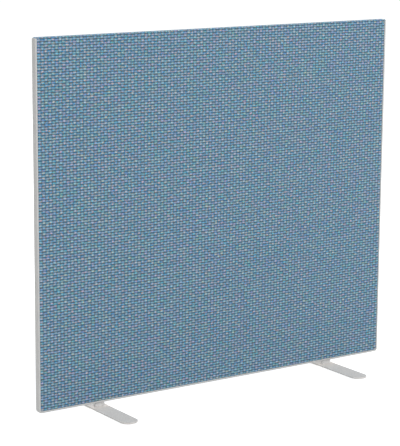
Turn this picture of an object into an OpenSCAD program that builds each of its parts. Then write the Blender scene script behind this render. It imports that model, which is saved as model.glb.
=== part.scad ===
// Acoustic divider screen: a cloth-covered sound-absorbing panel on two flat feet.
// The width runs along X, the thickness along Y with the front at -Y, and the height along +Z.
// The origin is on the floor, under the middle of the panel.

/* [Panel] */
// Width of the panel, over the crowns of its edge trims
panel_w = 1400; // [1000:10:1800]
// Height of the panel, from the underside of its bottom trim to the top edge of its cover
panel_h = 1200; // [900:10:1800]
// Radius of the two bottom corners, over the trim
corner_r = 12; // [11:1:20]
// Radius of the two top corners of the cover
top_corner_r = 5; // [3:0.5:12]

/* [Frame] */
// Thickness of the frame boards, front to back
frame_t = 16; // [16:1:30]
// Width of each stile
stile_w = 45; // [40:1:80]
// Height of the top rail
top_rail_h = 45; // [40:1:80]
// Height of the bottom rail, which holds the threaded inserts
bottom_rail_h = 70; // [55:1:120]
// Width of each mullion
mullion_w = 40; // [38:1:80]
// Diameter of the joint dowels
dowel_d = 8; // [6:0.5:10]
// Length of the joint dowels
dowel_len = 40; // [30:1:50]
// Distance between the two dowels of one joint
dowel_pitch = 22; // [16:1:24]

/* [Core and wadding] */
// Thickness of each wadding layer in the field of the panel
wadding_t = 2.2; // [1.6:0.1:6]
// Thickness of the wadding where a trim lip squeezes it
squeezed_t = 1.2; // [0.6:0.1:1.5]
// Width over which the wadding swells up beside a trim lip
swell_w = 6; // [3:0.5:15]
// Gap between a core slab and the frame members round it
core_clear = 0.3; // [0.1:0.1:1]

/* [Cover] */
// Thickness of the cloth
cloth_t = 0.8; // [0.6:0.1:2]
// Gap left between the front hem and the back hem on the edges of the frame
hem_gap = 8; // [8:0.5:9]
// Length of a staple's crown
staple_crown = 10; // [6:1:14]
// Length of a staple's legs, from the outside of the crown
staple_leg = 8; // [5:1:9]
// Width of the staple wire
staple_wire_w = 1.2; // [0.8:0.1:1.4]
// Thickness of the staple wire
staple_wire_t = 0.5; // [0.3:0.1:0.5]
// Distance from one staple to the next
staple_pitch = 100; // [60:5:150]

/* [Edge trim] */
// Width of the trim that shows on each face of the panel
trim_face_w = 6; // [3:0.5:6]
// Thickness of the trim's lips
lip_t = 1; // [0.8:0.1:1.5]
// Thickness of the trim's web at its edges
web_t = 1.2; // [1.1:0.1:2]
// Rise of the trim's domed outside over its width
trim_dome = 1.3; // [0.6:0.1:2]
// Radius along the trim's outer edges
trim_edge_r = 1; // [0.5:0.1:1]
// Thickness of the barbed tongue that holds the trim in the frame
tongue_t = 2.4; // [1.6:0.1:3]
// Length of the barbed tongue
tongue_len = 9; // [6:0.5:12]
// Height of each barb on the tongue
barb_h = 0.6; // [0.3:0.1:1]
// Distance from the top edge of the cover down to the ends of the side trims
trim_drop = 3; // [1:0.5:8]
// Diameter of the peg on each corner trim
peg_d = 4; // [3:0.5:4]
// Length of the peg on each corner trim
peg_len = 5; // [4:0.5:6]

/* [Feet] */
// Length of each foot, front to back
foot_len = 420; // [300:10:600]
// Width of each foot
foot_w = 60; // [56:1:100]
// Thickness of each foot plate
foot_t = 5; // [4.5:0.5:10]
// Corner radius of the ends of each foot
foot_end_r = 27; // [5:1:27]
// Distance from the end of the panel to the middle of a foot
foot_inset = 230; // [120:5:300]
// Width of the spacer block between foot and panel
spacer_w = 34; // [34:1:56]
// Thickness of the spacer block, front to back
spacer_d = 12; // [10:0.5:18]
// Height of the spacer block
spacer_h = 13.5; // [6:0.5:60]
// Diameter of the round pads under a foot
pad_d = 20; // [12:1:40]
// Thickness of the pads
pad_t = 1.5; // [1:0.5:5]
// Distance from the end of a foot to the middle of a pad
pad_inset = 30; // [25:1:60]

/* [Foot fixings] */
// Diameter of the foot bolts
bolt_d = 6; // [4:0.5:6]
// Diameter of the bolts' countersunk heads
bolt_head_d = 11; // [8:0.5:12]
// Height of the bolts' countersunk heads
bolt_head_h = 3; // [2:0.5:3.5]
// Width across the flats of the bolts' sockets
bolt_socket = 4; // [2.5:0.5:4]
// Distance between the two bolts of a foot
bolt_pitch = 20; // [18:1:22]
// Length of bolt that goes into the rail
bolt_grip = 12; // [8:1:14]
// Clearance on the diameter of each bolt hole
bolt_clear = 0.6; // [0.3:0.1:1]
// Outside diameter of the threaded inserts
insert_d = 10; // [9:0.5:10]
// Length of the threaded inserts
insert_len = 15; // [10:1:20]

/* [Hidden] */
$fn = 64;

// How far a cut runs past the face that it opens
overrun = 1;
// Clearance round a dowel, a peg, an insert and the barbs, on each side
fit_clear = 0.1;
// Room left past the end of a dowel, peg, tongue, bolt or insert
end_room = 1;
// Room left beside the foot's inserts where the bottom trim's tongue is cut away
tongue_relief = 3;
// Where the middles of the two mullions stand, as a share of half the panel's width
mullion_share = 1 / 3;
// Where the socket in a bolt's head ends, as a share of the head's height
socket_share = 0.7;
// Number of barbs along each side of a tongue
barb_count = 3;
// Facets of a full circle in the soft pieces, which are hulls
soft_fn = 32;

// Levels, from the floor up
plate_z = pad_t;
spacer_z = plate_z + foot_t;
panel_z = spacer_z + spacer_h;
panel_top = panel_z + panel_h;

// Half thicknesses, from the middle of the panel outwards
frame_y = frame_t / 2;
squeezed_y = frame_y + squeezed_t;
swollen_y = frame_y + wadding_t;
hem_y = squeezed_y + cloth_t;
cover_y = swollen_y + cloth_t;
trim_y = hem_y + lip_t;

// How far the cover and the frame lie inside the trims' crowns
trim_build = web_t + trim_dome;
frame_build = trim_build + cloth_t;
cover_x = panel_w / 2 - trim_build;
frame_x = panel_w / 2 - frame_build;
cover_z = panel_z + trim_build;
frame_z = panel_z + frame_build;
frame_top = panel_top - cloth_t;

// Places of the frame members and the bays between them
stile_in_x = frame_x - stile_w;
rail_low_top = frame_z + bottom_rail_h;
rail_high_low = frame_top - top_rail_h;
mullion_x = panel_w / 2 * mullion_share;

// Places of the trims, the grooves for their tongues and their pegs
lip_in = trim_dome + trim_face_w;
corner_x = panel_w / 2 - corner_r;
corner_z = panel_z + corner_r;
trim_end_z = panel_top - trim_drop;
groove_t = tongue_t + 2 * barb_h + 2 * fit_clear;
groove_depth = tongue_len - cloth_t + end_room;

// Places of the feet and their bolts
foot_x = panel_w / 2 - foot_inset;
bolt_top = frame_z + bolt_grip;
relief_half = bolt_pitch / 2 + insert_d / 2 + tongue_relief;

SIDES = [-1, 1];

// An outline in the plane of the panel, drawn as X and Z, with its own radius at the bottom and top corners
module face_outline(half_w, low, high, low_r, high_r) {
    difference() {
        translate([-half_w, low]) square([2 * half_w, high - low]);
        for (side = SIDES) {
            translate([side * half_w, low]) corner_waste(-side, 1, low_r);
            translate([side * half_w, high]) corner_waste(-side, -1, high_r);
        }
    }
}

// What a rounded corner loses; in_x and in_z point into the outline
module corner_waste(in_x, in_z, r) {
    difference() {
        translate([in_x * r / 2, in_z * r / 2]) square(r + overrun, center = true);
        translate([in_x * r, in_z * r]) circle(r);
        translate([in_x > 0 ? r : -r - overrun, in_z > 0 ? -overrun : -r - overrun])
            square([overrun, r + 2 * overrun]);
        translate([in_x > 0 ? -overrun : -r - overrun, in_z > 0 ? r : -r - overrun])
            square([r + 2 * overrun, overrun]);
    }
}

// Stands a face outline upright and gives it its thickness, centred on the middle of the panel
module upright(half_y) {
    translate([0, half_y, 0]) rotate([90, 0, 0]) linear_extrude(2 * half_y) children();
}

// A board between two corners
module board(low, high) {
    translate(low) cube(high - low);
}

// The frame's outline, which the members are cut from
module frame_outline() {
    face_outline(frame_x, frame_z, frame_top, corner_r - frame_build, top_corner_r - cloth_t);
}

// The outline that the trim's lips leave open on each face; swell draws it in all round
module field_outline(top, swell) {
    inset = lip_in + swell;
    face_outline(panel_w / 2 - inset, panel_z + inset, top - swell, corner_r - lip_in, top_corner_r);
}

// A panel that is flat under the trim's lips and swells up from them to its full thickness
module swollen_panel(low_y, high_y, top) {
    upright(low_y, $fn = soft_fn) children();
    hull() {
        upright(low_y, $fn = soft_fn) field_outline(top, 0);
        upright(high_y, $fn = soft_fn) field_outline(top, swell_w);
    }
}

// Grooves in the frame's edges for the tongues of the side trims and the bottom trim
module tongue_grooves() {
    cut_depth = groove_depth + overrun;
    for (side = SIDES)
        translate([side * (frame_x + overrun - cut_depth / 2), 0, (corner_z + trim_end_z) / 2])
            cube([cut_depth, groove_t, trim_end_z - corner_z], center = true);
    difference() {
        board(
            [-corner_x, -groove_t / 2, frame_z - overrun],
            [corner_x, groove_t / 2, frame_z + groove_depth]
        );
        for (side = SIDES)
            board(
                [side * foot_x - relief_half, -groove_t, frame_z - 2 * overrun],
                [side * foot_x + relief_half, groove_t, frame_z + groove_depth + overrun]
            );
    }
}

// Dowel at each joint; grow widens it into its hole and extra lengthens it
module dowels(grow, extra) {
    d = dowel_d + 2 * grow;
    len = dowel_len + 2 * extra;
    for (side = SIDES, step = SIDES) {
        for (mid_z = [(frame_z + rail_low_top) / 2, (rail_high_low + frame_top) / 2])
            translate([side * stile_in_x, 0, mid_z + step * dowel_pitch / 2])
                rotate([0, 90, 0]) cylinder(h = len, d = d, center = true);
        for (joint_z = [rail_low_top, rail_high_low])
            translate([side * mullion_x + step * dowel_pitch / 2, 0, joint_z])
                cylinder(h = len, d = d, center = true);
    }
}

// Puts what it holds at each of the two bolts of one foot
module at_bolts(side) {
    for (step = SIDES) translate([side * foot_x + step * bolt_pitch / 2, 0, 0]) children();
}

// Peg of a corner trim, pointing from the rounded corner into the frame
module corner_peg(side, grow, extra) {
    translate([side * corner_x, 0, corner_z])
        rotate([0, side * 135, 0])
        translate([0, 0, corner_r - trim_build - peg_len - extra])
        cylinder(h = peg_len + extra, d = peg_d + 2 * grow);
}

// One staple, its crown flush with the outside of the hem at z = 0 and its legs pointing down
module staple() {
    translate([-staple_crown / 2, -staple_wire_w / 2, -staple_wire_t])
        cube([staple_crown, staple_wire_w, staple_wire_t]);
    for (side = SIDES)
        translate([side * (staple_crown - staple_wire_t) / 2, 0, -staple_leg / 2])
            cube([staple_wire_t, staple_wire_w, staple_leg], center = true);
}

// Places spread evenly between two ends, about one staple pitch apart
function staple_places(low, high) =
    let (count = max(1, round((high - low) / staple_pitch)))
    [for (i = [0 : count - 1]) low + (high - low) * (i + 0.5) / count];

// All staples, along the side hems and the bottom hems
module staples() {
    staple_y = (hem_gap / 2 + frame_y) / 2;
    for (face = SIDES) {
        for (side = SIDES, z = staple_places(corner_z, trim_end_z))
            translate([side * cover_x, face * staple_y, z]) rotate([0, side * 90, 0]) staple();
        for (x = staple_places(-corner_x, corner_x))
            translate([x, face * staple_y, cover_z]) rotate([180, 0, 0]) staple();
    }
}

// Section of the trim's domed web and two lips; X points out of the panel from the outside of the hem
module trim_shell_section() {
    dome_half = trim_y - trim_edge_r;
    dome_r = (dome_half * dome_half + trim_dome * trim_dome) / (2 * trim_dome);
    translate([0, -trim_y]) square([web_t - trim_edge_r, 2 * trim_y]);
    translate([0, -dome_half]) square([web_t, 2 * dome_half]);
    intersection() {
        translate([web_t + trim_dome - dome_r, 0]) circle(dome_r, $fn = 256);
        translate([0, -dome_half]) square([trim_build + overrun, 2 * dome_half]);
    }
    for (face = SIDES) {
        translate([web_t - trim_edge_r, face * dome_half])
            intersection() {
                circle(trim_edge_r);
                translate([0, face > 0 ? 0 : -trim_edge_r]) square(trim_edge_r);
            }
        translate([web_t - trim_face_w, face * (trim_y - lip_t / 2) - lip_t / 2])
            square([trim_face_w - trim_edge_r, lip_t]);
    }
}

// Section of the barbed tongue behind the web
module tongue_section() {
    barb_pitch = (tongue_len - cloth_t) / barb_count;
    barb_y = tongue_t / 2 + barb_h;
    translate([-tongue_len, -tongue_t / 2]) square([tongue_len, tongue_t]);
    for (i = [1 : barb_count])
        translate([-tongue_len + i * barb_pitch, 0])
            polygon([[0, -barb_y], [0, barb_y], [-barb_pitch, tongue_t / 2], [-barb_pitch, -tongue_t / 2]]);
}

// Side trim, from the rounded corner up to just under the top edge
module side_trim(side) {
    color("#c4c4c2")
        translate([side * cover_x, 0, corner_z])
        rotate([0, 0, side > 0 ? 0 : 180])
        linear_extrude(trim_end_z - corner_z) {
            trim_shell_section();
            tongue_section();
        }
}

// Rounded corner trim with its peg
module corner_trim(side) {
    color("#c4c4c2") {
        translate([side * corner_x, 0, corner_z])
            rotate([90, 0, 0])
            rotate([0, 0, side > 0 ? 270 : 180])
            rotate_extrude(angle = 90)
            translate([corner_r - trim_build, 0])
            trim_shell_section();
        corner_peg(side, 0, 0);
    }
}

// Frame stile, with the grooves, dowel holes, staple holes and the hole for the corner peg
module frame_stile(side) {
    color("burlywood")
        difference() {
            intersection() {
                upright(frame_y) frame_outline();
                board(
                    [side > 0 ? stile_in_x : -frame_x - overrun, -frame_t, frame_z - overrun],
                    [side > 0 ? frame_x + overrun : -stile_in_x, frame_t, frame_top + overrun]
                );
            }
            tongue_grooves();
            dowels(fit_clear, end_room);
            corner_peg(side, fit_clear, end_room);
            staples();
        }
}

// Frame mullion between the rails
module frame_mullion(side) {
    color("burlywood")
        difference() {
            board(
                [side * mullion_x - mullion_w / 2, -frame_y, rail_low_top],
                [side * mullion_x + mullion_w / 2, frame_y, rail_high_low]
            );
            dowels(fit_clear, end_room);
        }
}

// Core slab of one bay, a running clearance inside the members round it
module core_slab(low_x, high_x) {
    color("#8f8f86")
        board(
            [low_x + core_clear, -frame_y, rail_low_top + core_clear],
            [high_x - core_clear, frame_y, rail_high_low - core_clear]
        );
}

// Everything inside the cloth: the frame with its two wadding layers
module stuffed_body() {
    swollen_panel(squeezed_y, swollen_y, frame_top) frame_outline();
}

// Wadding layer on one face; side is -1 for the front
module wadding(side) {
    color("#e2e2dc")
        intersection() {
            stuffed_body();
            board(
                [-panel_w / 2, side > 0 ? frame_y : -cover_y, panel_z],
                [panel_w / 2, side > 0 ? cover_y : -frame_y, panel_top]
            );
        }
}

// Foot plate with rounded ends and two countersunk holes
module foot_plate(side) {
    color("#c3c3c3")
        difference() {
            translate([side * foot_x, 0, plate_z]) linear_extrude(foot_t) foot_outline();
            at_bolts(side) bolt_hole(plate_z, spacer_z);
            at_bolts(side)
                translate([0, 0, plate_z - overrun])
                cylinder(h = overrun + fit_clear, d = bolt_head_d + bolt_clear);
            at_bolts(side)
                translate([0, 0, plate_z + fit_clear])
                cylinder(h = bolt_head_h, d1 = bolt_head_d + bolt_clear, d2 = bolt_d + bolt_clear);
        }
}

// Outline of a foot plate
module foot_outline() {
    end_x = foot_w / 2 - foot_end_r;
    end_y = foot_len / 2 - foot_end_r;
    square([foot_w, 2 * end_y], center = true);
    square([2 * end_x, foot_len], center = true);
    for (side = SIDES, end = SIDES) translate([side * end_x, end * end_y]) circle(foot_end_r);
}

// Hole for one bolt between two levels
module bolt_hole(low, high) {
    translate([0, 0, low - overrun]) cylinder(h = high - low + 2 * overrun, d = bolt_d + bolt_clear);
}

// Spacer block between the foot and the bottom trim
module foot_spacer(side) {
    color("#bdbdbd")
        difference() {
            translate([side * foot_x, 0, spacer_z + spacer_h / 2])
                cube([spacer_w, spacer_d, spacer_h], center = true);
            at_bolts(side) bolt_hole(spacer_z, panel_z);
        }
}

// Round pads under the two ends of a foot
module foot_pads(side) {
    color("#3c3c3c")
        for (end = SIDES)
            translate([side * foot_x, end * (foot_len / 2 - pad_inset), 0]) cylinder(h = pad_t, d = pad_d);
}

// Countersunk bolts of one foot, with hexagon sockets
module foot_bolts(side) {
    color("#9a9a9a")
        at_bolts(side)
        difference() {
            translate([0, 0, plate_z + fit_clear]) {
                cylinder(h = bolt_head_h, d1 = bolt_head_d, d2 = bolt_d);
                cylinder(h = bolt_top - plate_z - fit_clear, d = bolt_d);
            }
            translate([0, 0, plate_z - overrun])
                cylinder(h = bolt_head_h * socket_share + overrun, d = bolt_socket / cos(30), $fn = 6);
        }
}

// Threaded inserts of both feet
module inserts() {
    for (side = SIDES)
        at_bolts(side)
            difference() {
                translate([0, 0, frame_z]) cylinder(h = insert_len, d = insert_d);
                translate([0, 0, frame_z - overrun])
                    cylinder(h = insert_len + 2 * overrun, d = bolt_d + 2 * fit_clear);
            }
}

module foot_plate_left() { foot_plate(-1); }
module foot_plate_right() { foot_plate(1); }
module foot_spacer_left() { foot_spacer(-1); }
module foot_spacer_right() { foot_spacer(1); }
module foot_pads_left() { foot_pads(-1); }
module foot_pads_right() { foot_pads(1); }
module foot_bolts_left() { foot_bolts(-1); }
module foot_bolts_right() { foot_bolts(1); }
module threaded_inserts() { color("#b59a4e") inserts(); }
module edge_trim_left() { side_trim(-1); }
module edge_trim_right() { side_trim(1); }

// Bottom trim between the two corner trims, with its bolt holes and its tongue cut back at the inserts
module edge_trim_bottom() {
    color("#c4c4c2")
        difference() {
            translate([-corner_x, 0, cover_z])
                rotate([0, 90, 0])
                linear_extrude(2 * corner_x) {
                    trim_shell_section();
                    tongue_section();
                }
            for (side = SIDES) {
                board(
                    [side * foot_x - relief_half, -hem_gap / 2, cover_z],
                    [side * foot_x + relief_half, hem_gap / 2, cover_z + tongue_len + overrun]
                );
                at_bolts(side) bolt_hole(panel_z, cover_z);
            }
        }
}

module corner_trim_left() { corner_trim(-1); }
module corner_trim_right() { corner_trim(1); }

// One cloth, up the front, over the top edge and down the back, with its hems turned in under the trims
module cloth_cover() {
    color("#6f8a9d")
        difference() {
            swollen_panel(hem_y, cover_y, panel_top)
                face_outline(cover_x, cover_z, panel_top, corner_r - trim_build, top_corner_r);
            stuffed_body();
            board([-panel_w / 2, -hem_gap / 2, panel_z], [panel_w / 2, hem_gap / 2, trim_end_z]);
            staples();
        }
}

module cover_staples() { color("#a8a8a8") staples(); }
module wadding_front() { wadding(-1); }
module wadding_back() { wadding(1); }
module core_slab_left() { core_slab(-stile_in_x, -mullion_x - mullion_w / 2); }
module core_slab_centre() { core_slab(-mullion_x + mullion_w / 2, mullion_x - mullion_w / 2); }
module core_slab_right() { core_slab(mullion_x + mullion_w / 2, stile_in_x); }
module frame_stile_left() { frame_stile(-1); }
module frame_stile_right() { frame_stile(1); }

// Top rail between the stiles
module frame_rail_top() {
    color("burlywood")
        difference() {
            board([-stile_in_x, -frame_y, rail_high_low], [stile_in_x, frame_y, frame_top]);
            dowels(fit_clear, end_room);
        }
}

// Bottom rail between the stiles, with the groove, the staple holes and the holes for the inserts
module frame_rail_bottom() {
    color("burlywood")
        difference() {
            board([-stile_in_x, -frame_y, frame_z], [stile_in_x, frame_y, rail_low_top]);
            tongue_grooves();
            dowels(fit_clear, end_room);
            staples();
            for (side = SIDES)
                at_bolts(side)
                    translate([0, 0, frame_z - overrun])
                    cylinder(
                        h = max(insert_len, bolt_grip) + end_room + overrun,
                        d = insert_d + 2 * fit_clear
                    );
        }
}

module frame_mullion_left() { frame_mullion(-1); }
module frame_mullion_right() { frame_mullion(1); }
module frame_dowels() { color("tan") dowels(0, 0); }

foot_plate_left();
foot_plate_right();
foot_spacer_left();
foot_spacer_right();
foot_pads_left();
foot_pads_right();
foot_bolts_left();
foot_bolts_right();
threaded_inserts();
edge_trim_left();
edge_trim_right();
edge_trim_bottom();
corner_trim_left();
corner_trim_right();
cloth_cover();
cover_staples();
wadding_front();
wadding_back();
core_slab_left();
core_slab_centre();
core_slab_right();
frame_stile_left();
frame_stile_right();
frame_rail_top();
frame_rail_bottom();
frame_mullion_left();
frame_mullion_right();
frame_dowels();
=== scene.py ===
"""Free-standing acoustic divider screen: a cloth-covered panel in grey edge trims on two flat steel feet.

All sizes are in metres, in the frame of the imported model: X runs along the panel, Y from front to back, Z up.
"""

import logging
import math
from dataclasses import dataclass
from enum import Enum
from typing import Callable, Iterable, Optional, Sequence, Union

import bmesh
import bpy
from mathutils import Matrix, Vector, noise


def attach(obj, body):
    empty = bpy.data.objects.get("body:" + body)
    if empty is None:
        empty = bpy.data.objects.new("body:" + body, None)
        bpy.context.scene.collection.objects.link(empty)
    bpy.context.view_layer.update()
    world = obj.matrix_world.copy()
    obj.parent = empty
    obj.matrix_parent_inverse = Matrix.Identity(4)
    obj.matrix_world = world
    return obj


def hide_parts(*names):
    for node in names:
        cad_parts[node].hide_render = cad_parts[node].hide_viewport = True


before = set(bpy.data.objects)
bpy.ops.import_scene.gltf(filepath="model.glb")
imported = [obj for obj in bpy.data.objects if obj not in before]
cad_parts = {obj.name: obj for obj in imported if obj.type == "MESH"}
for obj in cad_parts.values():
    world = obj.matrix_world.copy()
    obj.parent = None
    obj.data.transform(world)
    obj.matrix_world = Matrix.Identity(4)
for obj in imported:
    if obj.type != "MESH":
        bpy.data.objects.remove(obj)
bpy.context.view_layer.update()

log = logging.getLogger("screen")

Colour = tuple[float, float, float]
Point = tuple[float, float]
Piece = bpy.types.Object
Coat = bpy.types.Material
Places = Sequence[tuple[Sequence[float], Sequence[float]]]
Row = list[bmesh.types.BMVert]
Socket = bpy.types.NodeSocket
Feed = Union[Socket, float, Sequence[float]]
Feeds = Optional[dict[Union[str, int], Feed]]

QUARTER = math.pi / 2
CREASE = 35.0
CLOUD_LOW, CLOUD_HIGH = 0.3, 0.7
SIGNS = ((-1, -1), (1, -1), (1, 1), (-1, 1))
WELD = 1e-6


class Side(Enum):
    """Which end of the panel a piece stands at."""

    LEFT = -1
    RIGHT = 1


class Face(Enum):
    """Which face of the panel a piece lies on."""

    FRONT = -1
    BACK = 1


class Grain(Enum):
    """Direction that the grain of a board runs in."""

    UPRIGHT = "upright"
    ACROSS = "across"


def srgb(red: int, green: int, blue: int) -> Colour:
    """Turns a colour given in screen values, from 0 to 255, into a linear one."""
    shares = (value / 255 for value in (red, green, blue))
    return tuple(s / 12.92 if s <= 0.04045 else ((s + 0.055) / 1.055) ** 2.4 for s in shares)


def shaded(colour: Colour, factor: float) -> Colour:
    """Makes a colour darker or paler by a factor, up to full white."""
    return tuple(min(1.0, part * factor) for part in colour)


def smooth(share: float) -> float:
    """Eases a share from 0 to 1, held at both ends."""
    held = min(1.0, max(0.0, share))
    return held * held * (3 - 2 * held)


def lerp(low: float, high: float, share: float) -> float:
    """Gives the value a share of the way from low to high."""
    return low + (high - low) * share


def arc(centre: Point, radius: float, start: float, end: float, steps: int) -> list[Point]:
    """Gives the points of an arc, both ends with them.

    Args:
        centre: Its centre.
        radius: Its radius.
        start: Turn of its first point, in radians.
        end: Turn of its last point.
        steps: Number of steps from the first to the last.

    Returns:
        The points.
    """
    turns = (lerp(start, end, step / steps) for step in range(steps + 1))
    return [(centre[0] + radius * math.cos(turn), centre[1] + radius * math.sin(turn)) for turn in turns]


# Finishes


class Nodes:
    """A node tree, with a short call for each way to add to it."""

    def __init__(self, tree: bpy.types.NodeTree) -> None:
        """Takes the tree that it adds to."""
        self.tree = tree

    def feed(self, socket: Socket, value: Feed) -> None:
        """Links an input, or sets its constant.

        Args:
            socket: The input.
            value: An output to link it to, or the number, vector or colour that it holds.
        """
        if isinstance(value, Socket):
            self.tree.links.new(value, socket)
        elif socket.type == "RGBA":
            socket.default_value = (*value[:3], 1.0)
        else:
            socket.default_value = value

    def add(self, kind: str, feeds: Feeds = None, **settings: object) -> bpy.types.Node:
        """Adds a node.

        Args:
            kind: Type of the node.
            feeds: What its inputs get, by their names or numbers.
            settings: Properties of the node itself.

        Returns:
            The new node.
        """
        node = self.tree.nodes.new(kind)
        for name, value in settings.items():
            setattr(node, name, value)
        for key, value in (feeds or {}).items():
            self.feed(node.inputs[key], value)
        return node

    def get(self, kind: str, feeds: Feeds = None, output: Union[int, str] = 0, **settings: object) -> Socket:
        """Adds a node and gives one of its outputs, by its name or number."""
        return self.add(kind, feeds, **settings).outputs[output]

    def maths(self, operation: str, *feeds: Feed) -> Socket:
        """Adds one step of arithmetic on one to three numbers."""
        return self.get("ShaderNodeMath", dict(enumerate(feeds)), operation=operation)


@dataclass(frozen=True)
class Cloud:
    """A soft random value: its lumps for each metre, all round or along each axis, and its finer layers."""

    scale: Union[float, tuple[float, float, float]]
    detail: float = 2.0
    rough: float = 0.6


class Graph(Nodes):
    """The node tree of one material, built round its surface shader."""

    def __init__(self, name: str) -> None:
        """Starts a material that has a surface shader and an output.

        Args:
            name: Name of the material.
        """
        self.material = bpy.data.materials.new(name)
        self.material.use_nodes = True
        super().__init__(self.material.node_tree)
        self.tree.nodes.clear()
        self.shader = self.add("ShaderNodeBsdfPrincipled")
        self.add("ShaderNodeOutputMaterial", {"Surface": self.shader.outputs["BSDF"]})

    def ease(self, value: Feed, low: float, high: float, start: float = 0.0, end: float = 1.0) -> Socket:
        """Maps a value smoothly from the range low to high to the range start to end, held at both ends."""
        feeds = {"Value": value, "From Min": low, "From Max": high, "To Min": start, "To Max": end}
        return self.get("ShaderNodeMapRange", feeds, "Result", interpolation_type="SMOOTHSTEP")

    def spread(self, cloud: Socket, start: float, end: float) -> Socket:
        """Maps a cloud's middle range smoothly to the range start to end."""
        return self.ease(cloud, CLOUD_LOW, CLOUD_HIGH, start, end)

    def mix(self, share: Feed, first: Feed, second: Feed, blend: str = "MIX") -> Socket:
        """Mixes two colours, with the second's share first, and lays the second over the first by a blend."""
        feeds = {0: share, 6: first, 7: second}
        return self.get("ShaderNodeMix", feeds, 2, data_type="RGBA", blend_type=blend)

    def choose(self, share: Feed, first: Feed, second: Feed) -> Socket:
        """Mixes two numbers, with the second's share first."""
        return self.get("ShaderNodeMix", {0: share, 2: first, 3: second}, data_type="FLOAT")

    def ramp(self, value: Feed, stops: Sequence[tuple[float, Colour]]) -> Socket:
        """Turns a number into a colour along a ramp.

        Args:
            value: The number.
            stops: Places along the ramp with their colours, from low to high.

        Returns:
            The colour's socket.
        """
        node = self.add("ShaderNodeValToRGB", {"Fac": value})
        marks = node.color_ramp.elements
        while len(marks) < len(stops):
            marks.new(0.5)
        for mark, (place, colour) in zip(marks, stops):
            mark.position = place
            mark.color = (*colour, 1.0)
        return node.outputs["Color"]

    def tones(self, cloud: Socket, dark: Colour, pale: Colour) -> Socket:
        """Turns a cloud's middle range into the tones from dark to pale."""
        return self.ramp(cloud, [(CLOUD_LOW, dark), (CLOUD_HIGH, pale)])

    def place(self) -> Socket:
        """Gives the place on the object, in metres."""
        return self.get("ShaderNodeTexCoord", output="Object")

    def chart(self, name: str) -> Socket:
        """Gives the place on one of the mesh's own maps, in metres."""
        return self.get("ShaderNodeUVMap", uv_map=name)

    def vector(self, operation: str, first: Feed, second: Feed) -> Socket:
        """Adds one step of arithmetic on two vectors."""
        return self.get("ShaderNodeVectorMath", {0: first, 1: second}, operation=operation)

    def cloud(self, place: Feed, look: Cloud) -> Socket:
        """Gives a soft random value, about 0 to 1.

        Args:
            place: Place to read it at.
            look: Its lumps and layers.

        Returns:
            The value's socket.
        """
        scale = look.scale
        if isinstance(scale, tuple):
            place, scale = self.vector("MULTIPLY", place, scale), 1.0
        feeds = {"Vector": place, "Scale": scale, "Detail": look.detail, "Roughness": look.rough}
        return self.get("ShaderNodeTexNoise", feeds, "Fac")

    def scatter(self, first: Feed, second: Feed, seed: float) -> bpy.types.Node:
        """Adds a node with one random Value and Color for each pair of whole numbers, apart for each seed."""
        joined = self.get("ShaderNodeCombineXYZ", {"X": first, "Y": second, "Z": seed})
        return self.add("ShaderNodeTexWhiteNoise", {"Vector": joined}, noise_dimensions="3D")

    def relief(self, height: Feed, distance: float, strength: float = 1.0) -> None:
        """Raises the surface by a height, of which 1 stands for a distance and of which a strength shows."""
        feeds = {"Height": height, "Distance": distance, "Strength": strength}
        self.set(Normal=self.get("ShaderNodeBump", feeds, "Normal"))

    def set(self, **values: Feed) -> None:
        """Sets inputs of the surface shader, named with underscores for spaces."""
        for name, value in values.items():
            self.feed(self.shader.inputs[name.replace("_", " ")], value)


@dataclass(frozen=True)
class Finish:
    """A finish, from which one material is made."""

    name: str

    def dress(self, graph: Graph) -> None:
        """Fills in the material's nodes; each finish has its own."""
        raise NotImplementedError

    def material(self) -> bpy.types.Material:
        """Gives the finish's material, made once.

        Returns:
            The material.
        """
        made = bpy.data.materials.get(self.name)
        if made is None:
            graph = Graph(self.name)
            self.dress(graph)
            made = graph.material
        return made


@dataclass(frozen=True)
class Yarn:
    """One of a weave's two sets of yarns, of which the odd or the even ones lie on top at a crossing."""

    pitch: float
    width_share: float
    rise: float
    odd: float
    seed: float
    fibres: Cloud
    colours: tuple[Colour, Colour, Colour]


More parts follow.
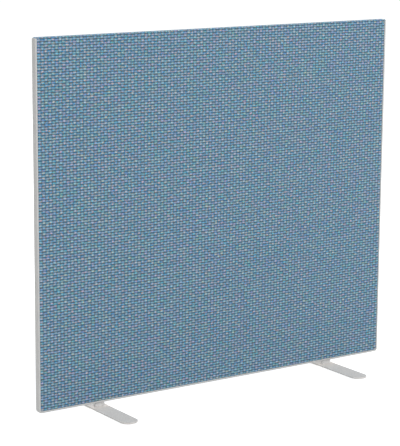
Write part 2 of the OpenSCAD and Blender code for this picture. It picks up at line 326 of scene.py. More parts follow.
@dataclass(frozen=True)
class PlainWeave(Finish):
    """Plain weave of wide blue weft yarns and slightly paler warp yarns, laid by the cloth's own map, with
    shade painted where the yarns lie low, darkest in the gaps between rows.
    """

    name: str = "woven cloth"
    warp: Yarn = Yarn(
        pitch=0.0126,
        width_share=1.0,
        rise=0.62,
        odd=0.0,
        seed=7.0,
        fibres=Cloud((2600.0, 260.0, 1.0)),
        colours=(srgb(157, 184, 204), srgb(166, 192, 211), srgb(178, 201, 217)),
    )
    weft: Yarn = Yarn(
        pitch=0.0088,
        width_share=0.98,
        rise=0.2,
        odd=1.0,
        seed=3.0,
        fibres=Cloud((260.0, 2600.0, 1.0)),
        colours=(srgb(140, 173, 197), srgb(149, 181, 204), srgb(157, 187, 208)),
    )
    # Colour of the painted shadow in the gaps between rows, where the yarns lie lowest.
    gap_shadow: Colour = srgb(62, 92, 112)
    wander: Cloud = Cloud(38.0, 1.0, 0.5)
    drift: float = 0.0022
    warp_lift: float = 0.13
    warp_round: float = 0.67
    warp_edge: float = 0.3
    crossing: float = 0.12
    fibre_share: float = 0.35
    fibre_height: float = 0.25
    colour_marks: tuple[float, float, float] = (0.05, 0.5, 0.95)
    dye: float = 0.31
    tufts: Cloud = Cloud(200.0, 1.0, 0.5)
    cool: tuple[float, Colour] = (0.35, (0.16, 0.54, 0.74))
    warm: tuple[float, Colour] = (0.65, (0.86, 0.48, 0.28))
    slubs: Cloud = Cloud((150.0, 180.0, 1.0), 1.0, 0.5)
    slub_height: float = 0.5
    # Heights over which the painted shade fades from the gap shadow to the yarns' own colour.
    shadow_height: float = 0.6
    lit_height: float = 1.55
    relief_height: float = 0.0003

    def waves(self, graph: Graph, yarn: Yarn, along: Socket, across: Socket) -> tuple[Socket, Socket]:
        """Gives how high one set of yarns stands along its length.

        Args:
            graph: The material's nodes.
            yarn: The set of yarns.
            along: Place along the yarns, in pitches of the other set.
            across: Whole number of each yarn.

        Returns:
            The height from -1 under the crossing to 1 over it, and the whole number of each float.
        """
        odd = graph.maths("FLOORED_MODULO", graph.maths("ADD", across, yarn.odd), 2.0)
        run = graph.maths("SUBTRACT", graph.maths("SUBTRACT", along, 0.5), odd)
        height = graph.maths("COSINE", graph.maths("MULTIPLY", run, math.pi))
        return height, graph.maths("ROUND", graph.maths("MULTIPLY", run, 0.5))

    def crown(self, graph: Graph, yarn: Yarn, across: Socket) -> Socket:
        """Gives the round section of a yarn.

        Args:
            graph: The material's nodes.
            yarn: The set of yarns.
            across: Place across the yarns, in pitches.

        Returns:
            The height, 1 along the yarn's crown and 0 past its edge.
        """
        offset = graph.maths("SUBTRACT", graph.maths("FRACT", across), 0.5)
        reach = graph.maths("DIVIDE", offset, yarn.width_share / 2)
        square = graph.maths("MULTIPLY", reach, reach)
        return graph.maths("SQRT", graph.maths("MAXIMUM", graph.maths("SUBTRACT", 1.0, square), 0.0))

    def dyed(self, graph: Graph, yarn: Yarn, jitter: bpy.types.Node, fibres: Socket) -> Socket:
        """Gives the colour of a yarn, which changes from float to float and from fibre to fibre.

        Args:
            graph: The material's nodes.
            yarn: The set of yarns.
            jitter: Random value and colour of the float.
            fibres: Random value of the fibre.

        Returns:
            The colour's socket.
        """
        tone = graph.choose(self.fibre_share, jitter.outputs["Value"], fibres)
        colour = graph.ramp(tone, list(zip(self.colour_marks, yarn.colours)))
        return graph.mix(self.dye, colour, jitter.outputs["Color"], "SOFT_LIGHT")

    def dress(self, graph: Graph) -> None:
        """Lays out the two sets of yarns, their colours, the shade painted where they lie low, and their
        relief.

        Args:
            graph: The material\'s nodes.
        """
        cloth = graph.chart("cloth")
        parts = graph.add("ShaderNodeSeparateXYZ", {0: cloth})
        wander = graph.maths("SUBTRACT", graph.cloud(cloth, self.wander), 0.5)
        drift = graph.maths("MULTIPLY", wander, self.drift)
        across = graph.maths("DIVIDE", graph.maths("ADD", parts.outputs["X"], drift), self.warp.pitch)
        up = graph.maths("DIVIDE", graph.maths("SUBTRACT", parts.outputs["Y"], drift), self.weft.pitch)
        column, row = graph.maths("FLOOR", across), graph.maths("FLOOR", up)
        weft_wave, weft_float = self.waves(graph, self.weft, across, row)
        lifted = graph.maths("SUBTRACT", up, self.warp_lift)
        warp_wave, warp_float = self.waves(graph, self.warp, lifted, column)
        weft_height = graph.maths("MULTIPLY_ADD", weft_wave, self.weft.rise, self.crown(graph, self.weft, up))
        warp_crown = self.crown(graph, self.warp, across)
        warp_body = graph.maths("MULTIPLY", warp_crown, self.warp_round)
        warp_height = graph.maths("MULTIPLY_ADD", warp_wave, self.warp.rise, warp_body)
        warp_there = graph.ease(warp_crown, 0.0, self.warp_edge)
        lead = graph.maths("SUBTRACT", warp_height, weft_height)
        on_top = graph.maths("MULTIPLY", graph.ease(lead, -self.crossing, self.crossing), warp_there)
        weft_fibres = graph.cloud(cloth, self.weft.fibres)
        warp_fibres = graph.cloud(cloth, self.warp.fibres)
        weft = self.dyed(graph, self.weft, graph.scatter(weft_float, row, self.weft.seed), weft_fibres)
        warp = self.dyed(graph, self.warp, graph.scatter(column, warp_float, self.warp.seed), warp_fibres)
        top = graph.maths("MAXIMUM", weft_height, graph.maths("MULTIPLY", warp_height, warp_there))
        # Slubs raise and lower the yarns, which moves both the relief and the painted shade.
        slubs = graph.maths("SUBTRACT", graph.cloud(cloth, self.slubs), 0.5)
        top = graph.maths("MULTIPLY_ADD", slubs, self.slub_height, top)
        # Painted shade: the lower the yarn lies, the more its colour turns to the dark gap shadow.
        shade = graph.ease(top, self.shadow_height, self.lit_height)
        colour = graph.mix(shade, self.gap_shadow, graph.mix(on_top, weft, warp))
        tufts = graph.ramp(graph.cloud(cloth, self.tufts), [self.cool, self.warm])
        colour = graph.mix(1.0, colour, tufts, "SOFT_LIGHT")
        graph.set(Base_Color=colour, Roughness=0.88, Specular_IOR_Level=0.25)
        graph.set(Sheen_Weight=0.12, Sheen_Roughness=0.5)
        fibres = graph.choose(on_top, weft_fibres, warp_fibres)
        graph.relief(graph.maths("MULTIPLY_ADD", fibres, self.fibre_height, top), self.relief_height)


@dataclass(frozen=True)
class PowderCoat(Finish):
    """Satin powder coat with its fine orange peel, and a painted highlight in patches along the edges."""

    name: str
    colour: Colour
    dark: float = 0.87
    pale: float = 1.11
    peel: Cloud = Cloud(900.0, rough=0.45)
    peel_height: float = 0.00006
    fleck: Cloud = Cloud(190.0)
    fleck_share: float = 0.75
    smudge: Cloud = Cloud(14.0, 3.0)
    rough: Point = (0.42, 0.52)
    # Painted highlight: the arrises are painted near white, in patches picked out by a cloud, so that the edges
    # look paler, as light would make them.
    highlight_patches: Cloud = Cloud(160.0, 3.0)
    highlight_patch_range: Point = (0.45, 0.7)
    highlight_share: float = 0.7
    edge_highlight: Colour = srgb(236, 236, 234)

    def dress(self, graph: Graph) -> None:
        """Lays the peel, the fleck and the painted highlight along the edges.

        Args:
            graph: The material\'s nodes.
        """
        place = graph.place()
        smudge = graph.cloud(place, self.smudge)
        tone = graph.choose(self.fleck_share, smudge, graph.cloud(place, self.fleck))
        colour = graph.tones(tone, shaded(self.colour, self.dark), shaded(self.colour, self.pale))
        # Painted highlight along the edges, broken into patches.
        edge = graph.get("ShaderNodeAttribute", output="Fac", attribute_name="edge")
        highlit = graph.maths("MULTIPLY", edge, graph.ease(graph.cloud(place, self.highlight_patches), *self.highlight_patch_range))
        colour = graph.mix(graph.maths("MULTIPLY", highlit, self.highlight_share), colour, self.edge_highlight)
        graph.set(Base_Color=colour, Roughness=graph.spread(smudge, *self.rough), Specular_IOR_Level=0.4)
        graph.relief(graph.cloud(place, self.peel), self.peel_height, 0.8)


@dataclass(frozen=True)
class ExtrudedPlastic(Finish):
    """Light grey extrusion with fine draw lines along its length, read from the trim's own map."""

    name: str = "grey extruded trim"
    colour: Colour = srgb(192, 192, 191)
    dark: float = 0.93
    pale: float = 1.05
    lines: Cloud = Cloud((4.0, 3800.0, 1.0))
    line_share: float = 0.4
    line_height: float = 0.00004
    cloudy: Cloud = Cloud(22.0, 3.0, 0.55)
    rough: Point = (0.4, 0.52)

    def dress(self, graph: Graph) -> None:
        """Lays the draw lines and a faint cloudiness.

        Args:
            graph: The material\'s nodes.
        """
        lines = graph.cloud(graph.chart("length"), self.lines)
        tone = graph.choose(self.line_share, graph.cloud(graph.place(), self.cloudy), lines)
        colour = graph.tones(tone, shaded(self.colour, self.dark), shaded(self.colour, self.pale))
        graph.set(Base_Color=colour, Roughness=graph.spread(lines, *self.rough), Specular_IOR_Level=0.42)
        graph.relief(lines, self.line_height, 0.7)


@dataclass(frozen=True)
class Timber(Finish):
    """Planed wood with rings, fine fibres and a few darker streaks along the grain."""

    name: str
    grain: Grain
    early: Colour = srgb(222, 192, 148)
    late: Colour = srgb(186, 143, 92)
    lumps: Point = (26.0, 1.6)
    rings: float = 14.0
    late_range: Point = (0.55, 0.95)
    fibres: Point = (900.0, 22.0)
    fibre_share: float = 0.3
    marks: Point = (0.15, 0.85)
    rough: Point = (0.55, 0.7)
    relief_height: float = 0.00012

    def drawn(self, across: float, along: float, detail: float, rough: float) -> Cloud:
        """Gives a cloud that is drawn out along the grain."""
        scale = (across, across, along) if self.grain is Grain.UPRIGHT else (along, across, across)
        return Cloud(scale, detail, rough)

    def dress(self, graph: Graph) -> None:
        """Stretches the rings and fibres along the board.

        Args:
            graph: The material\'s nodes.
        """
        place = graph.place()
        lumps = graph.cloud(place, self.drawn(*self.lumps, 2.0, 0.5))
        fibres = graph.cloud(place, self.drawn(*self.fibres, 3.0, 0.6))
        late = graph.ease(graph.maths("FRACT", graph.maths("MULTIPLY", lumps, self.rings)), *self.late_range)
        tone = graph.choose(self.fibre_share, late, fibres)
        colour = graph.ramp(tone, list(zip(self.marks, (self.early, self.late))))
        graph.set(Base_Color=colour, Roughness=graph.spread(fibres, *self.rough), Specular_IOR_Level=0.3)
        graph.relief(graph.choose(0.5, late, fibres), self.relief_height, 0.8)


@dataclass(frozen=True)
class Felt(Finish):
    """Needled or pressed fibres in several tones, lying every way."""

    name: str
    dark: Colour
    pale: Colour
    fleck: Colour
    fleck_share: float
    depth: float
    curl: float = 0.02
    curl_scale: float = 60.0
    layers: tuple[Cloud, ...] = (
        Cloud((2400.0, 400.0, 180.0)),
        Cloud((200.0, 400.0, 2400.0)),
        Cloud((900.0, 900.0, 900.0)),
    )
    clumps: Cloud = Cloud(45.0, 3.0)
    clump_share: float = 0.45
    marks: Point = (0.38, 0.68)
    fleck_scale: float = 210.0
    fleck_range: Point = (0.25, 0.45)

    def dress(self, graph: Graph) -> None:
        """Crosses layers of stretched fibres and scatters flecks among them.

        Args:
            graph: The material\'s nodes.
        """
        place = graph.place()
        curl = graph.get("ShaderNodeTexNoise", {"Vector": place, "Scale": self.curl_scale}, "Color")
        warped = graph.vector("ADD", place, graph.vector("MULTIPLY", curl, (self.curl,) * 3))
        fibres, *others = [graph.cloud(warped, layer) for layer in self.layers]
        for other in others:
            fibres = graph.maths("MAXIMUM", fibres, other)
        tone = graph.choose(self.clump_share, fibres, graph.cloud(place, self.clumps))
        colour = graph.ramp(tone, list(zip(self.marks, (self.dark, self.pale))))
        cell = graph.add("ShaderNodeTexVoronoi", {"Vector": warped, "Scale": self.fleck_scale})
        chance = graph.get("ShaderNodeSeparateColor", {0: cell.outputs["Color"]})
        chosen = graph.maths("LESS_THAN", chance, self.fleck_share)
        near = graph.ease(cell.outputs["Distance"], *self.fleck_range, 1.0, 0.0)
        colour = graph.mix(graph.maths("MULTIPLY", chosen, near), colour, self.fleck)
        graph.set(Base_Color=colour, Roughness=0.95, Sheen_Weight=0.1, Specular_IOR_Level=0.15)
        graph.relief(tone, self.depth)


@dataclass(frozen=True)
class Rubber(Finish):
    """Matt black rubber with a fine moulded grain and some floor dust."""

    name: str = "pad rubber"
    colour: Colour = srgb(46, 46, 47)
    pale: float = 1.3
    dust: Colour = srgb(92, 90, 86)
    dust_range: tuple[float, float, float, float] = (0.5, 0.75, 0.0, 0.4)
    dusty: Cloud = Cloud(120.0, 3.0)
    grain: Cloud = Cloud(1800.0)
    grain_height: float = 0.00008

    def dress(self, graph: Graph) -> None:
        """Lays the grain and the dust.

        Args:
            graph: The material\'s nodes.
        """
        place = graph.place()
        grain = graph.cloud(place, self.grain)
        dusty = graph.ease(graph.cloud(place, self.dusty), *self.dust_range)
        colour = graph.mix(dusty, graph.mix(grain, self.colour, shaded(self.colour, self.pale)), self.dust)
        graph.set(Base_Color=colour, Roughness=0.85, Specular_IOR_Level=0.3)
        graph.relief(grain, self.grain_height)


@dataclass(frozen=True)
class BareMetal(Finish):
    """Turned, drawn or plated metal with fine tool marks and a slightly blotched surface."""

    name: str
    dark: Colour
    pale: Colour
    rough: float
    smoother: float = 0.06
    rougher: float = 0.08
    marks: Cloud = Cloud((500.0, 500.0, 5200.0))
    mark_height: float = 0.00003
    blotch: Cloud = Cloud(320.0, 3.0)

    def dress(self, graph: Graph) -> None:
        """Lays the tool marks and the blotches.

        Args:
            graph: The material\'s nodes.
        """
        place = graph.place()
        marks, blotch = graph.cloud(place, self.marks), graph.cloud(place, self.blotch)
        rough = graph.spread(blotch, self.rough - self.smoother, self.rough + self.rougher)
        colour = graph.tones(graph.choose(0.5, marks, blotch), self.dark, self.pale)
        graph.set(Base_Color=colour, Metallic=1.0, Roughness=rough)
        graph.relief(marks, self.mark_height, 0.8)


# Meshes


class Shape:
    """The mesh of one piece while it is being built."""

    def __init__(self) -> None:
        """Starts an empty mesh, whose points carry how strongly the painted edge highlight shows."""
        self.mesh = bmesh.new()
        self.edge = self.mesh.verts.layers.float.new("edge")

    def ring(self, points: Iterable[Sequence[float]], edge: float = 0.0) -> Row:
        """Adds a row of points.

        Args:
            points: The places.
            edge: How strongly the painted edge highlight shows on the row, from 0 to 1.

        Returns:
            The new points.
        """
        row = [self.mesh.verts.new(point) for point in points]
        for vert in row:
            vert[self.edge] = edge
        return row

    def bridge(self, first: Row, second: Row, closed: bool = True) -> None:
        """Joins two rows of points with four-sided faces.

        Args:
            first: One row.
            second: The other row.
            closed: Whether the rows run round and meet themselves.
        """
        count = len(first)
        for i in range(count if closed else count - 1):
            j = (i + 1) % count
            self.mesh.faces.new((first[i], first[j], second[j], second[i]))

    def loft(self, rows: Sequence[Row], closed: bool = True, capped: bool = False) -> None:
        """Joins each row of points to the next.

        Args:
            rows: The rows, all of one length.
            closed: Whether the rows run round and meet themselves.
            capped: Whether a face closes the first row and another the last.
        """
        for first, second in zip(rows, rows[1:]):
            self.bridge(first, second, closed)
        for row in (rows[0], rows[-1]) if capped else ():
            self.mesh.faces.new(row)

    def cap_between(self, rings: Sequence[Row]) -> None:
        """Fills the flat face between an outer row of points and the rows inside it, which all run round."""
        edges = [self.mesh.edges.get((row[i - 1], row[i])) for row in rings for i in range(len(row))]
        bmesh.ops.triangle_fill(self.mesh, use_beauty=True, use_dissolve=False, edges=edges)

    def turned(
        self,
        heights: Sequence[float],
        radius: Callable[[int, float], float],
        centre: Point = (0.0, 0.0),
        steps: int = 48,
        capped: bool = True,
    ) -> list[Row]:
        """Adds a turned form whose radius may change round its axis.

        Args:
            heights: Level of each row of points.
            radius: Radius for a row's number and a turn round the axis.
            centre: Place of the axis.
            steps: Number of points in a row.
            capped: Whether faces close its two ends.

        Returns:
            The rows.
        """
        turns = [2 * math.pi * i / steps for i in range(steps)]
        rows = []
        for number, height in enumerate(heights):
            spans = [(radius(number, turn), turn) for turn in turns]
            points = [(centre[0] + r * math.cos(t), centre[1] + r * math.sin(t), height) for r, t in spans]
            rows.append(self.ring(points))
        self.loft(rows, capped=capped)
        return rows

    def object(self, name: str, finish: Finish, closed: bool = True, crease: float = CREASE) -> Piece:
        """Ends the build.

        Args:
            name: Name of the object.
            finish: Its finish.
            closed: Whether the surface is closed, so that its outside can be told.
            crease: Angle in degrees past which an edge stays sharp.

        Returns:
            The object, with its place in its mesh.
        """
        bmesh.ops.remove_doubles(self.mesh, verts=self.mesh.verts, dist=WELD)
        if closed:
            bmesh.ops.recalc_face_normals(self.mesh, faces=self.mesh.faces)
        data = bpy.data.meshes.new(name)
        self.mesh.to_mesh(data)
        self.mesh.free()
        return place_mesh(name, data, finish.material(), crease)


def linked(name: str, data: bpy.types.ID) -> Piece:
    """Makes an object of a mesh, a lamp or a camera.

    Args:
        name: Name of the object.
        data: What it shows.

    Returns:
        The object, in the scene.
    """
    made = bpy.data.objects.new(name, data)
    bpy.context.scene.collection.objects.link(made)
    return made


def place_mesh(name: str, data: bpy.types.Mesh, coat: Coat, crease: float = CREASE) -> Piece:
    """Makes an object of a mesh, smooth but for its creases.

    Args:
        name: Name of the object.
        data: The mesh.
        coat: Its material.
        crease: Angle in degrees past which an edge stays sharp.

    Returns:
        The object.
    """
    data.polygons.foreach_set("use_smooth", [True] * len(data.polygons))
    data.set_sharp_from_angle(angle=math.radians(crease))
    data.materials.clear()
    data.materials.append(coat)
    return linked(name, data)


def baked(source: Piece, name: str, coat: Coat, crease: float = CREASE) -> Piece:
    """Turns an object and its modifiers into a plain mesh, and removes the object.

    Args:
        source: The object.
        name: Name of the plain one.
        coat: Its material.
        crease: Angle in degrees past which an edge stays sharp.

    Returns:
        The plain object.
    """
    graph = bpy.context.evaluated_depsgraph_get()
    data = bpy.data.meshes.new_from_object(source.evaluated_get(graph), depsgraph=graph)
    data.name = name
    bpy.data.objects.remove(source)
    return place_mesh(name, data, coat, crease)


def publish(piece: Piece, node: str) -> None:
    """Puts a finished piece on its body, in the place of the solids that it stands for.

    Args:
        piece: The piece.
        node: Name of the solids' node.

    Raises:
        ValueError: If the piece came out empty.
    """
    if not piece.data.polygons:
        raise ValueError(f"{piece.name} has no faces")
    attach(piece, "root")
    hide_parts(node)
    log.info("%s: %d faces, stands for %s", piece.name, len(piece.data.polygons), node)


def dress_node(node: str, finish: Finish) -> None:
    """Gives a carried-over solid a better material.

    Args:
        node: Name of the solid.
        finish: Its finish.
    """
    for slot in bpy.data.objects[node].material_slots:
        slot.material = finish.material()
    log.info("%s: kept, in %s", node, finish.name)


@dataclass(frozen=True)
class Plan:
    """A rectangle with rounded corners, as seen from above."""

    half_x: float
    half_y: float
    radius: float
    steps: int

    def outline(self, inset: float) -> list[Point]:
        """Draws the outline.

        Args:
            inset: How far it is drawn in.

        Returns:
            The points, anticlockwise from the right side.
        """
        points = []
        for number in range(4):
            sign_x, sign_y = SIGNS[(number + 2) % 4]
            centre = (sign_x * (self.half_x - self.radius), sign_y * (self.half_y - self.radius))
            points += arc(centre, self.radius - inset, QUARTER * number, QUARTER * (number + 1), self.steps)
        return points


# Geometry Nodes


class NodeTool(Nodes):
    """A Geometry Nodes tree that is built once, run on an object and turned into a plain mesh."""

    def __init__(self, name: str) -> None:
        """Starts the tree with the geometry that it works on.

        Args:
            name: Name of the tree.
        """
        super().__init__(bpy.data.node_groups.new(name, "GeometryNodeTree"))
        self.keys: dict[str, str] = {}
        self.inlet = self.add("NodeGroupInput")
        self.base = self.size("Base", "NodeSocketGeometry")
        self.coat = self.size("Material", "NodeSocketMaterial")

    def size(self, name: str, kind: str) -> Socket:
        """Adds a named input.

        Args:
            name: Its name.
            kind: Its type.

        Returns:
            The socket that gives it inside the tree.
        """
        entry = self.tree.interface.new_socket(name=name, in_out="INPUT", socket_type=kind)
        self.keys[name] = entry.identifier
        return self.inlet.outputs[name]

    def attribute(self, name: str, kind: str) -> Socket:
        """Reads a named attribute of a type."""
        return self.get("GeometryNodeInputNamedAttribute", {"Name": name}, data_type=kind)

    def store(self, geometry: Socket, name: str, value: Socket, kind: str, domain: str) -> Socket:
        """Writes a named attribute of a type on a domain, and gives the geometry with it."""
        feeds = {"Geometry": geometry, "Name": name, "Value": value}
        return self.get("GeometryNodeStoreNamedAttribute", feeds, data_type=kind, domain=domain)

    def close(self, geometry: Socket) -> None:
        """Ends the tree in Realize Instances and Set Material.

        Args:
            geometry: The finished geometry.
        """
        self.tree.interface.new_socket(name="Result", in_out="OUTPUT", socket_type="NodeSocketGeometry")
        real = self.get("GeometryNodeRealizeInstances", {0: geometry})
        coated = self.get("GeometryNodeSetMaterial", {"Geometry": real, "Material": self.coat})
        self.add("NodeGroupOutput", {0: coated})

    def run(self, base: Piece, name: str, coat: Coat, **sizes: object) -> Piece:
        """Runs the tree on an object.

        Args:
            base: The object, which is used up.
            name: Name of the result.
            coat: The material that the tree sets.
            sizes: Values of the named inputs, with underscores for spaces.

        Returns:
            The result as a plain mesh.
        """
        modifier = base.modifiers.new(name, "NODES")
        modifier.node_group = self.tree
        modifier[self.keys["Material"]] = coat
        for key, value in sizes.items():
            modifier[self.keys[key.replace("_", " ")]] = value
        return baked(base, name, coat)


class Extruder(NodeTool):
    """Runs a profile along a path that is drawn as X and Y, and stands the result upright in X and Z."""

    def __init__(self) -> None:
        """Builds the tree."""
        super().__init__("extrude along path")
        profile = self.size("Profile", "NodeSocketObject")
        shape = self.get("GeometryNodeObjectInfo", {"Object": profile}, "Geometry")
        along = self.measured(self.base, "along")
        level = self.get("GeometryNodeSetCurveNormal", {"Curve": along}, mode="Z_UP")
        feeds = {"Curve": level, "Profile Curve": self.measured(shape, "around"), "Fill Caps": True}
        body = self.get("GeometryNodeCurveToMesh", feeds)
        feeds = {"X": self.attribute("along", "FLOAT"), "Y": self.attribute("around", "FLOAT")}
        mapped = self.store(body, "length", self.get("ShaderNodeCombineXYZ", feeds), "FLOAT2", "CORNER")
        self.close(self.get("GeometryNodeTransform", {"Geometry": mapped, "Rotation": (QUARTER, 0.0, 0.0)}))

    def measured(self, mesh: Socket, name: str) -> Socket:
        """Turns edges into a curve that says the length run so far at each point.

        Args:
            mesh: The edges.
            name: Name of the attribute that says it.

        Returns:
            The curve.
        """
        curve = self.get("GeometryNodeMeshToCurve", {"Mesh": mesh})
        run = self.get("GeometryNodeSplineParameter", output="Length")
        return self.store(curve, name, run, "FLOAT", "POINT")


class SetOut(NodeTool):
    """Puts a copy of one item at each point of a layout, turned as the point says and a little by chance."""

    def __init__(self) -> None:
        """Builds the tree."""
        super().__init__("set out on points")
        item = self.size("Item", "NodeSocketObject")
        wobble = self.size("Wobble", "NodeSocketFloat")
        seed = self.size("Seed", "NodeSocketInt")
        feeds = {2: self.maths("MULTIPLY", wobble, -1.0), 3: wobble, "Seed": seed}
        chance = self.get("FunctionNodeRandomValue", feeds, 1, data_type="FLOAT")
        own = self.turn(self.get("ShaderNodeCombineXYZ", {"Z": chance}))
        turned = {0: own, 1: self.turn(self.attribute("turn", "FLOAT_VECTOR"))}
        feeds = {
            "Points": self.base,
            "Instance": self.get("GeometryNodeObjectInfo", {"Object": item}, "Geometry"),
            "Rotation": self.get("FunctionNodeRotateRotation", turned),
        }
        self.close(self.get("GeometryNodeInstanceOnPoints", feeds))

    def turn(self, angles: Socket) -> Socket:
        """Makes a rotation of three angles."""
        return self.get("FunctionNodeEulerToRotation", {0: angles})

    @staticmethod
    def layout(places: Places) -> Piece:
        """Makes the object whose points are the places.

        Args:
            places: Each place with its turn about X, Y and Z.

        Returns:
            The object.
        """
        data = bpy.data.meshes.new("layout")
        data.from_pydata([place for place, _ in places], [], [])
        turns = data.attributes.new("turn", "FLOAT_VECTOR", "POINT")
        turns.data.foreach_set("vector", [value for _, turn in places for value in turn])
        return linked("layout", data)

    def spread(self, item: Piece, places: Places, name: str, wobble: float, seed: int) -> Piece:
        """Sets an item out and uses it up.

        Args:
            item: The item, built at the origin.
            places: Each place with its turn about X, Y and Z.
            name: Name of the result.
            wobble: Largest chance turn about the item's own axis, in radians.
            seed: Seed of the chance turns.

        Returns:
            The result as a plain mesh.
        """
        coat = item.data.materials[0]
        made = self.run(self.layout(places), name, coat, Item=item, Wobble=wobble, Seed=seed)
        bpy.data.objects.remove(item)
        return made


# Feet


@dataclass
class Foot:
    """One cross foot: a flat plate, the spacer block on it, two pads under it and two countersunk bolts."""

    side: Side
    set_out: SetOut
    middle: float = 0.47
    plate_len: float = 0.42
    plate_w: float = 0.06
    plate_low: float = 0.0015
    plate_high: float = 0.0065
    end_r: float = 0.027
    end_steps: int = 24
    arris: float = 0.0007
    arris_steps: int = 3
    flat_from: float = 1.5
    crease: float = 28.0
    spacer_w: float = 0.034
    spacer_d: float = 0.012
    spacer_high: float = 0.02
    spacer_r: float = 0.0012
    spacer_steps: int = 5
    spacer_arris: float = 0.0006
    pad_r: float = 0.01
    pad_place: float = 0.18
    pad_low_rim: float = 0.0004
    pad_high_rim: float = 0.0003
    pad_centre: float = 0.0015
    grooves: tuple[float, ...] = (0.0028, 0.0052, 0.0076)
    groove_mouth: float = 0.0005
    groove_floor: float = 0.0003
    groove_depth: float = 0.00035
    bolt_r: float = 0.003
    bolt_step: float = 0.01
    bolt_top: float = 0.0353
    bolt_low: float = 0.0016
    bolt_tip: float = 0.0006
    bolt_wobble: float = 0.5
    bolt_seed: int = 5
    head_r: float = 0.0055
    head_h: float = 0.003
    head_arris: float = 0.0002
    head_rim: float = 0.0003
    socket: float = 0.004
    socket_depth: float = 0.0021
    socket_centre: float = 0.0004
    hole_r: float = 0.0033
    hole_steps: int = 32
    sink_gap: float = 0.0003
    sink_rim: float = 0.0001
    thread_from: float = 0.019
    thread_pitch: float = 0.001
    thread_depth: float = 0.0005
    thread_steps: int = 6
    # The plates' copy of the coat is tinted warm, a painted correction for the blue light that the cloth
    # reflects onto their tops; the spacer's copy of the same coat is near neutral.
    steel: PowderCoat = PowderCoat("silver powder coat", srgb(214, 210, 206))
    spacer_steel: PowderCoat = PowderCoat("silver powder coat, spacer", srgb(214, 213, 213))
    rubber: Rubber = Rubber()
    zinc: BareMetal = BareMetal("zinc plate", srgb(150, 152, 150), srgb(206, 208, 206), 0.36)

    def __post_init__(self) -> None:
        """Finds the foot's middle along the panel, the word for its side and its bolts' places."""
        self.x = self.side.value * self.middle
        self.word = self.side.name.lower()
        self.bolt_xs = (self.x - self.bolt_step, self.x + self.bolt_step)

    def drilled(self, plan: Plan, low: float, high: float, arris: float, hole: Sequence[Point]) -> Shape:
        """Builds a plate with rounded edges and two holes.

        Args:
            plan: Its outline.
            low: Level of its underside.
            high: Level of its top.
            arris: Radius along its edges.
            hole: Radius and level of each ring of a hole, from the underside up.

        Returns:
            The shape.
        """
        shape = Shape()
        lower = arc((arris, low + arris), arris, -QUARTER, -math.pi, self.arris_steps)
        upper = arc((arris, high - arris), arris, math.pi, QUARTER, self.arris_steps)
        flat = self.flat_from * arris
        rows = []
        for inset, level in [(flat, low), *lower, *upper, (flat, high)]:
            points = [(self.x + x, y, level) for x, y in plan.outline(inset)]
            # The arris rows carry the painted edge highlight, strongest at the outermost row.
            rows.append(shape.ring(points, max(0.0, 1 - inset / arris)))
        shape.loft(rows)
        radii, levels = zip(*hole)
        holes = [
            shape.turned(levels, lambda n, t: radii[n], (x, 0.0), self.hole_steps, capped=False)
            for x in self.bolt_xs
        ]
        for end in (0, -1):
            shape.cap_between([rows[end], *(rings[end] for rings in holes)])
        return shape

    def plate(self) -> None:
        """Builds the plate with its rounded ends and countersunk holes."""
        plan = Plan(self.plate_w / 2, self.plate_len / 2, self.end_r, self.end_steps)
        rim, low, high = self.head_r + self.sink_gap, self.plate_low, self.plate_high
        sink = [(rim, low), (rim, low + self.sink_rim), (self.hole_r, low + self.head_h), (self.hole_r, high)]
        shape = self.drilled(plan, low, high, self.arris, sink)
        made = shape.object(f"plate_{self.word}", self.steel, crease=self.crease)
        publish(made, f"foot_plate_{self.word}")

    def spacer(self) -> None:
        """Builds the block between the plate and the panel."""
        plan = Plan(self.spacer_w / 2, self.spacer_d / 2, self.spacer_r, self.spacer_steps)
        low, high = self.plate_high, self.spacer_high
        shape = self.drilled(plan, low, high, self.spacer_arris, [(self.hole_r, low), (self.hole_r, high)])
        made = shape.object(f"spacer_{self.word}", self.spacer_steel, crease=self.crease)
        publish(made, f"foot_spacer_{self.word}")

    def pads(self) -> None:
        """Builds the two round pads, with grip rings on their undersides."""
        edge, top, low_rim, high_rim = self.pad_r, self.plate_low, self.pad_low_rim, self.pad_high_rim
        section = [(self.pad_centre, 0.0)]
        for middle in self.grooves:
            mouth, floor = self.groove_mouth, self.groove_floor
            shares = ((-mouth, 0.0), (-floor, self.groove_depth), (floor, self.groove_depth), (mouth, 0.0))
            section += [(middle + reach, depth) for reach, depth in shares]
        section += [(edge - low_rim, 0.0), (edge - low_rim / 4, low_rim / 4), (edge, low_rim)]
        section += [(edge, top - high_rim), (edge - high_rim, top)]
        radii, levels = zip(*section)
        shape = Shape()
        for place in (-self.pad_place, self.pad_place):
            shape.turned(levels, lambda n, t: radii[n], (self.x, place))
        publish(shape.object(f"pads_{self.word}", self.rubber), f"foot_pads_{self.word}")

    def bolt(self) -> Piece:
        """Builds one countersunk bolt with a hexagon socket and a thread.

        Returns:
            The bolt, at the origin, head down.
        """
        length = self.bolt_top - self.bolt_low
        bare, pitch = self.thread_from - self.bolt_low, self.thread_pitch
        run = length - bare - self.bolt_tip
        count = int(run / pitch * self.thread_steps)
        head = [self.socket_depth, self.socket_depth, 0.0, 0.0, self.head_rim, self.head_h]
        heights = [*head, *(bare + run * i / count for i in range(count + 1)), length]
        plain = {
            0: self.socket_centre,
            3: self.head_r - self.head_arris,
            4: self.head_r,
            5: self.bolt_r,
            6: self.bolt_r,
            len(heights) - 1: self.bolt_r - self.thread_depth,
        }

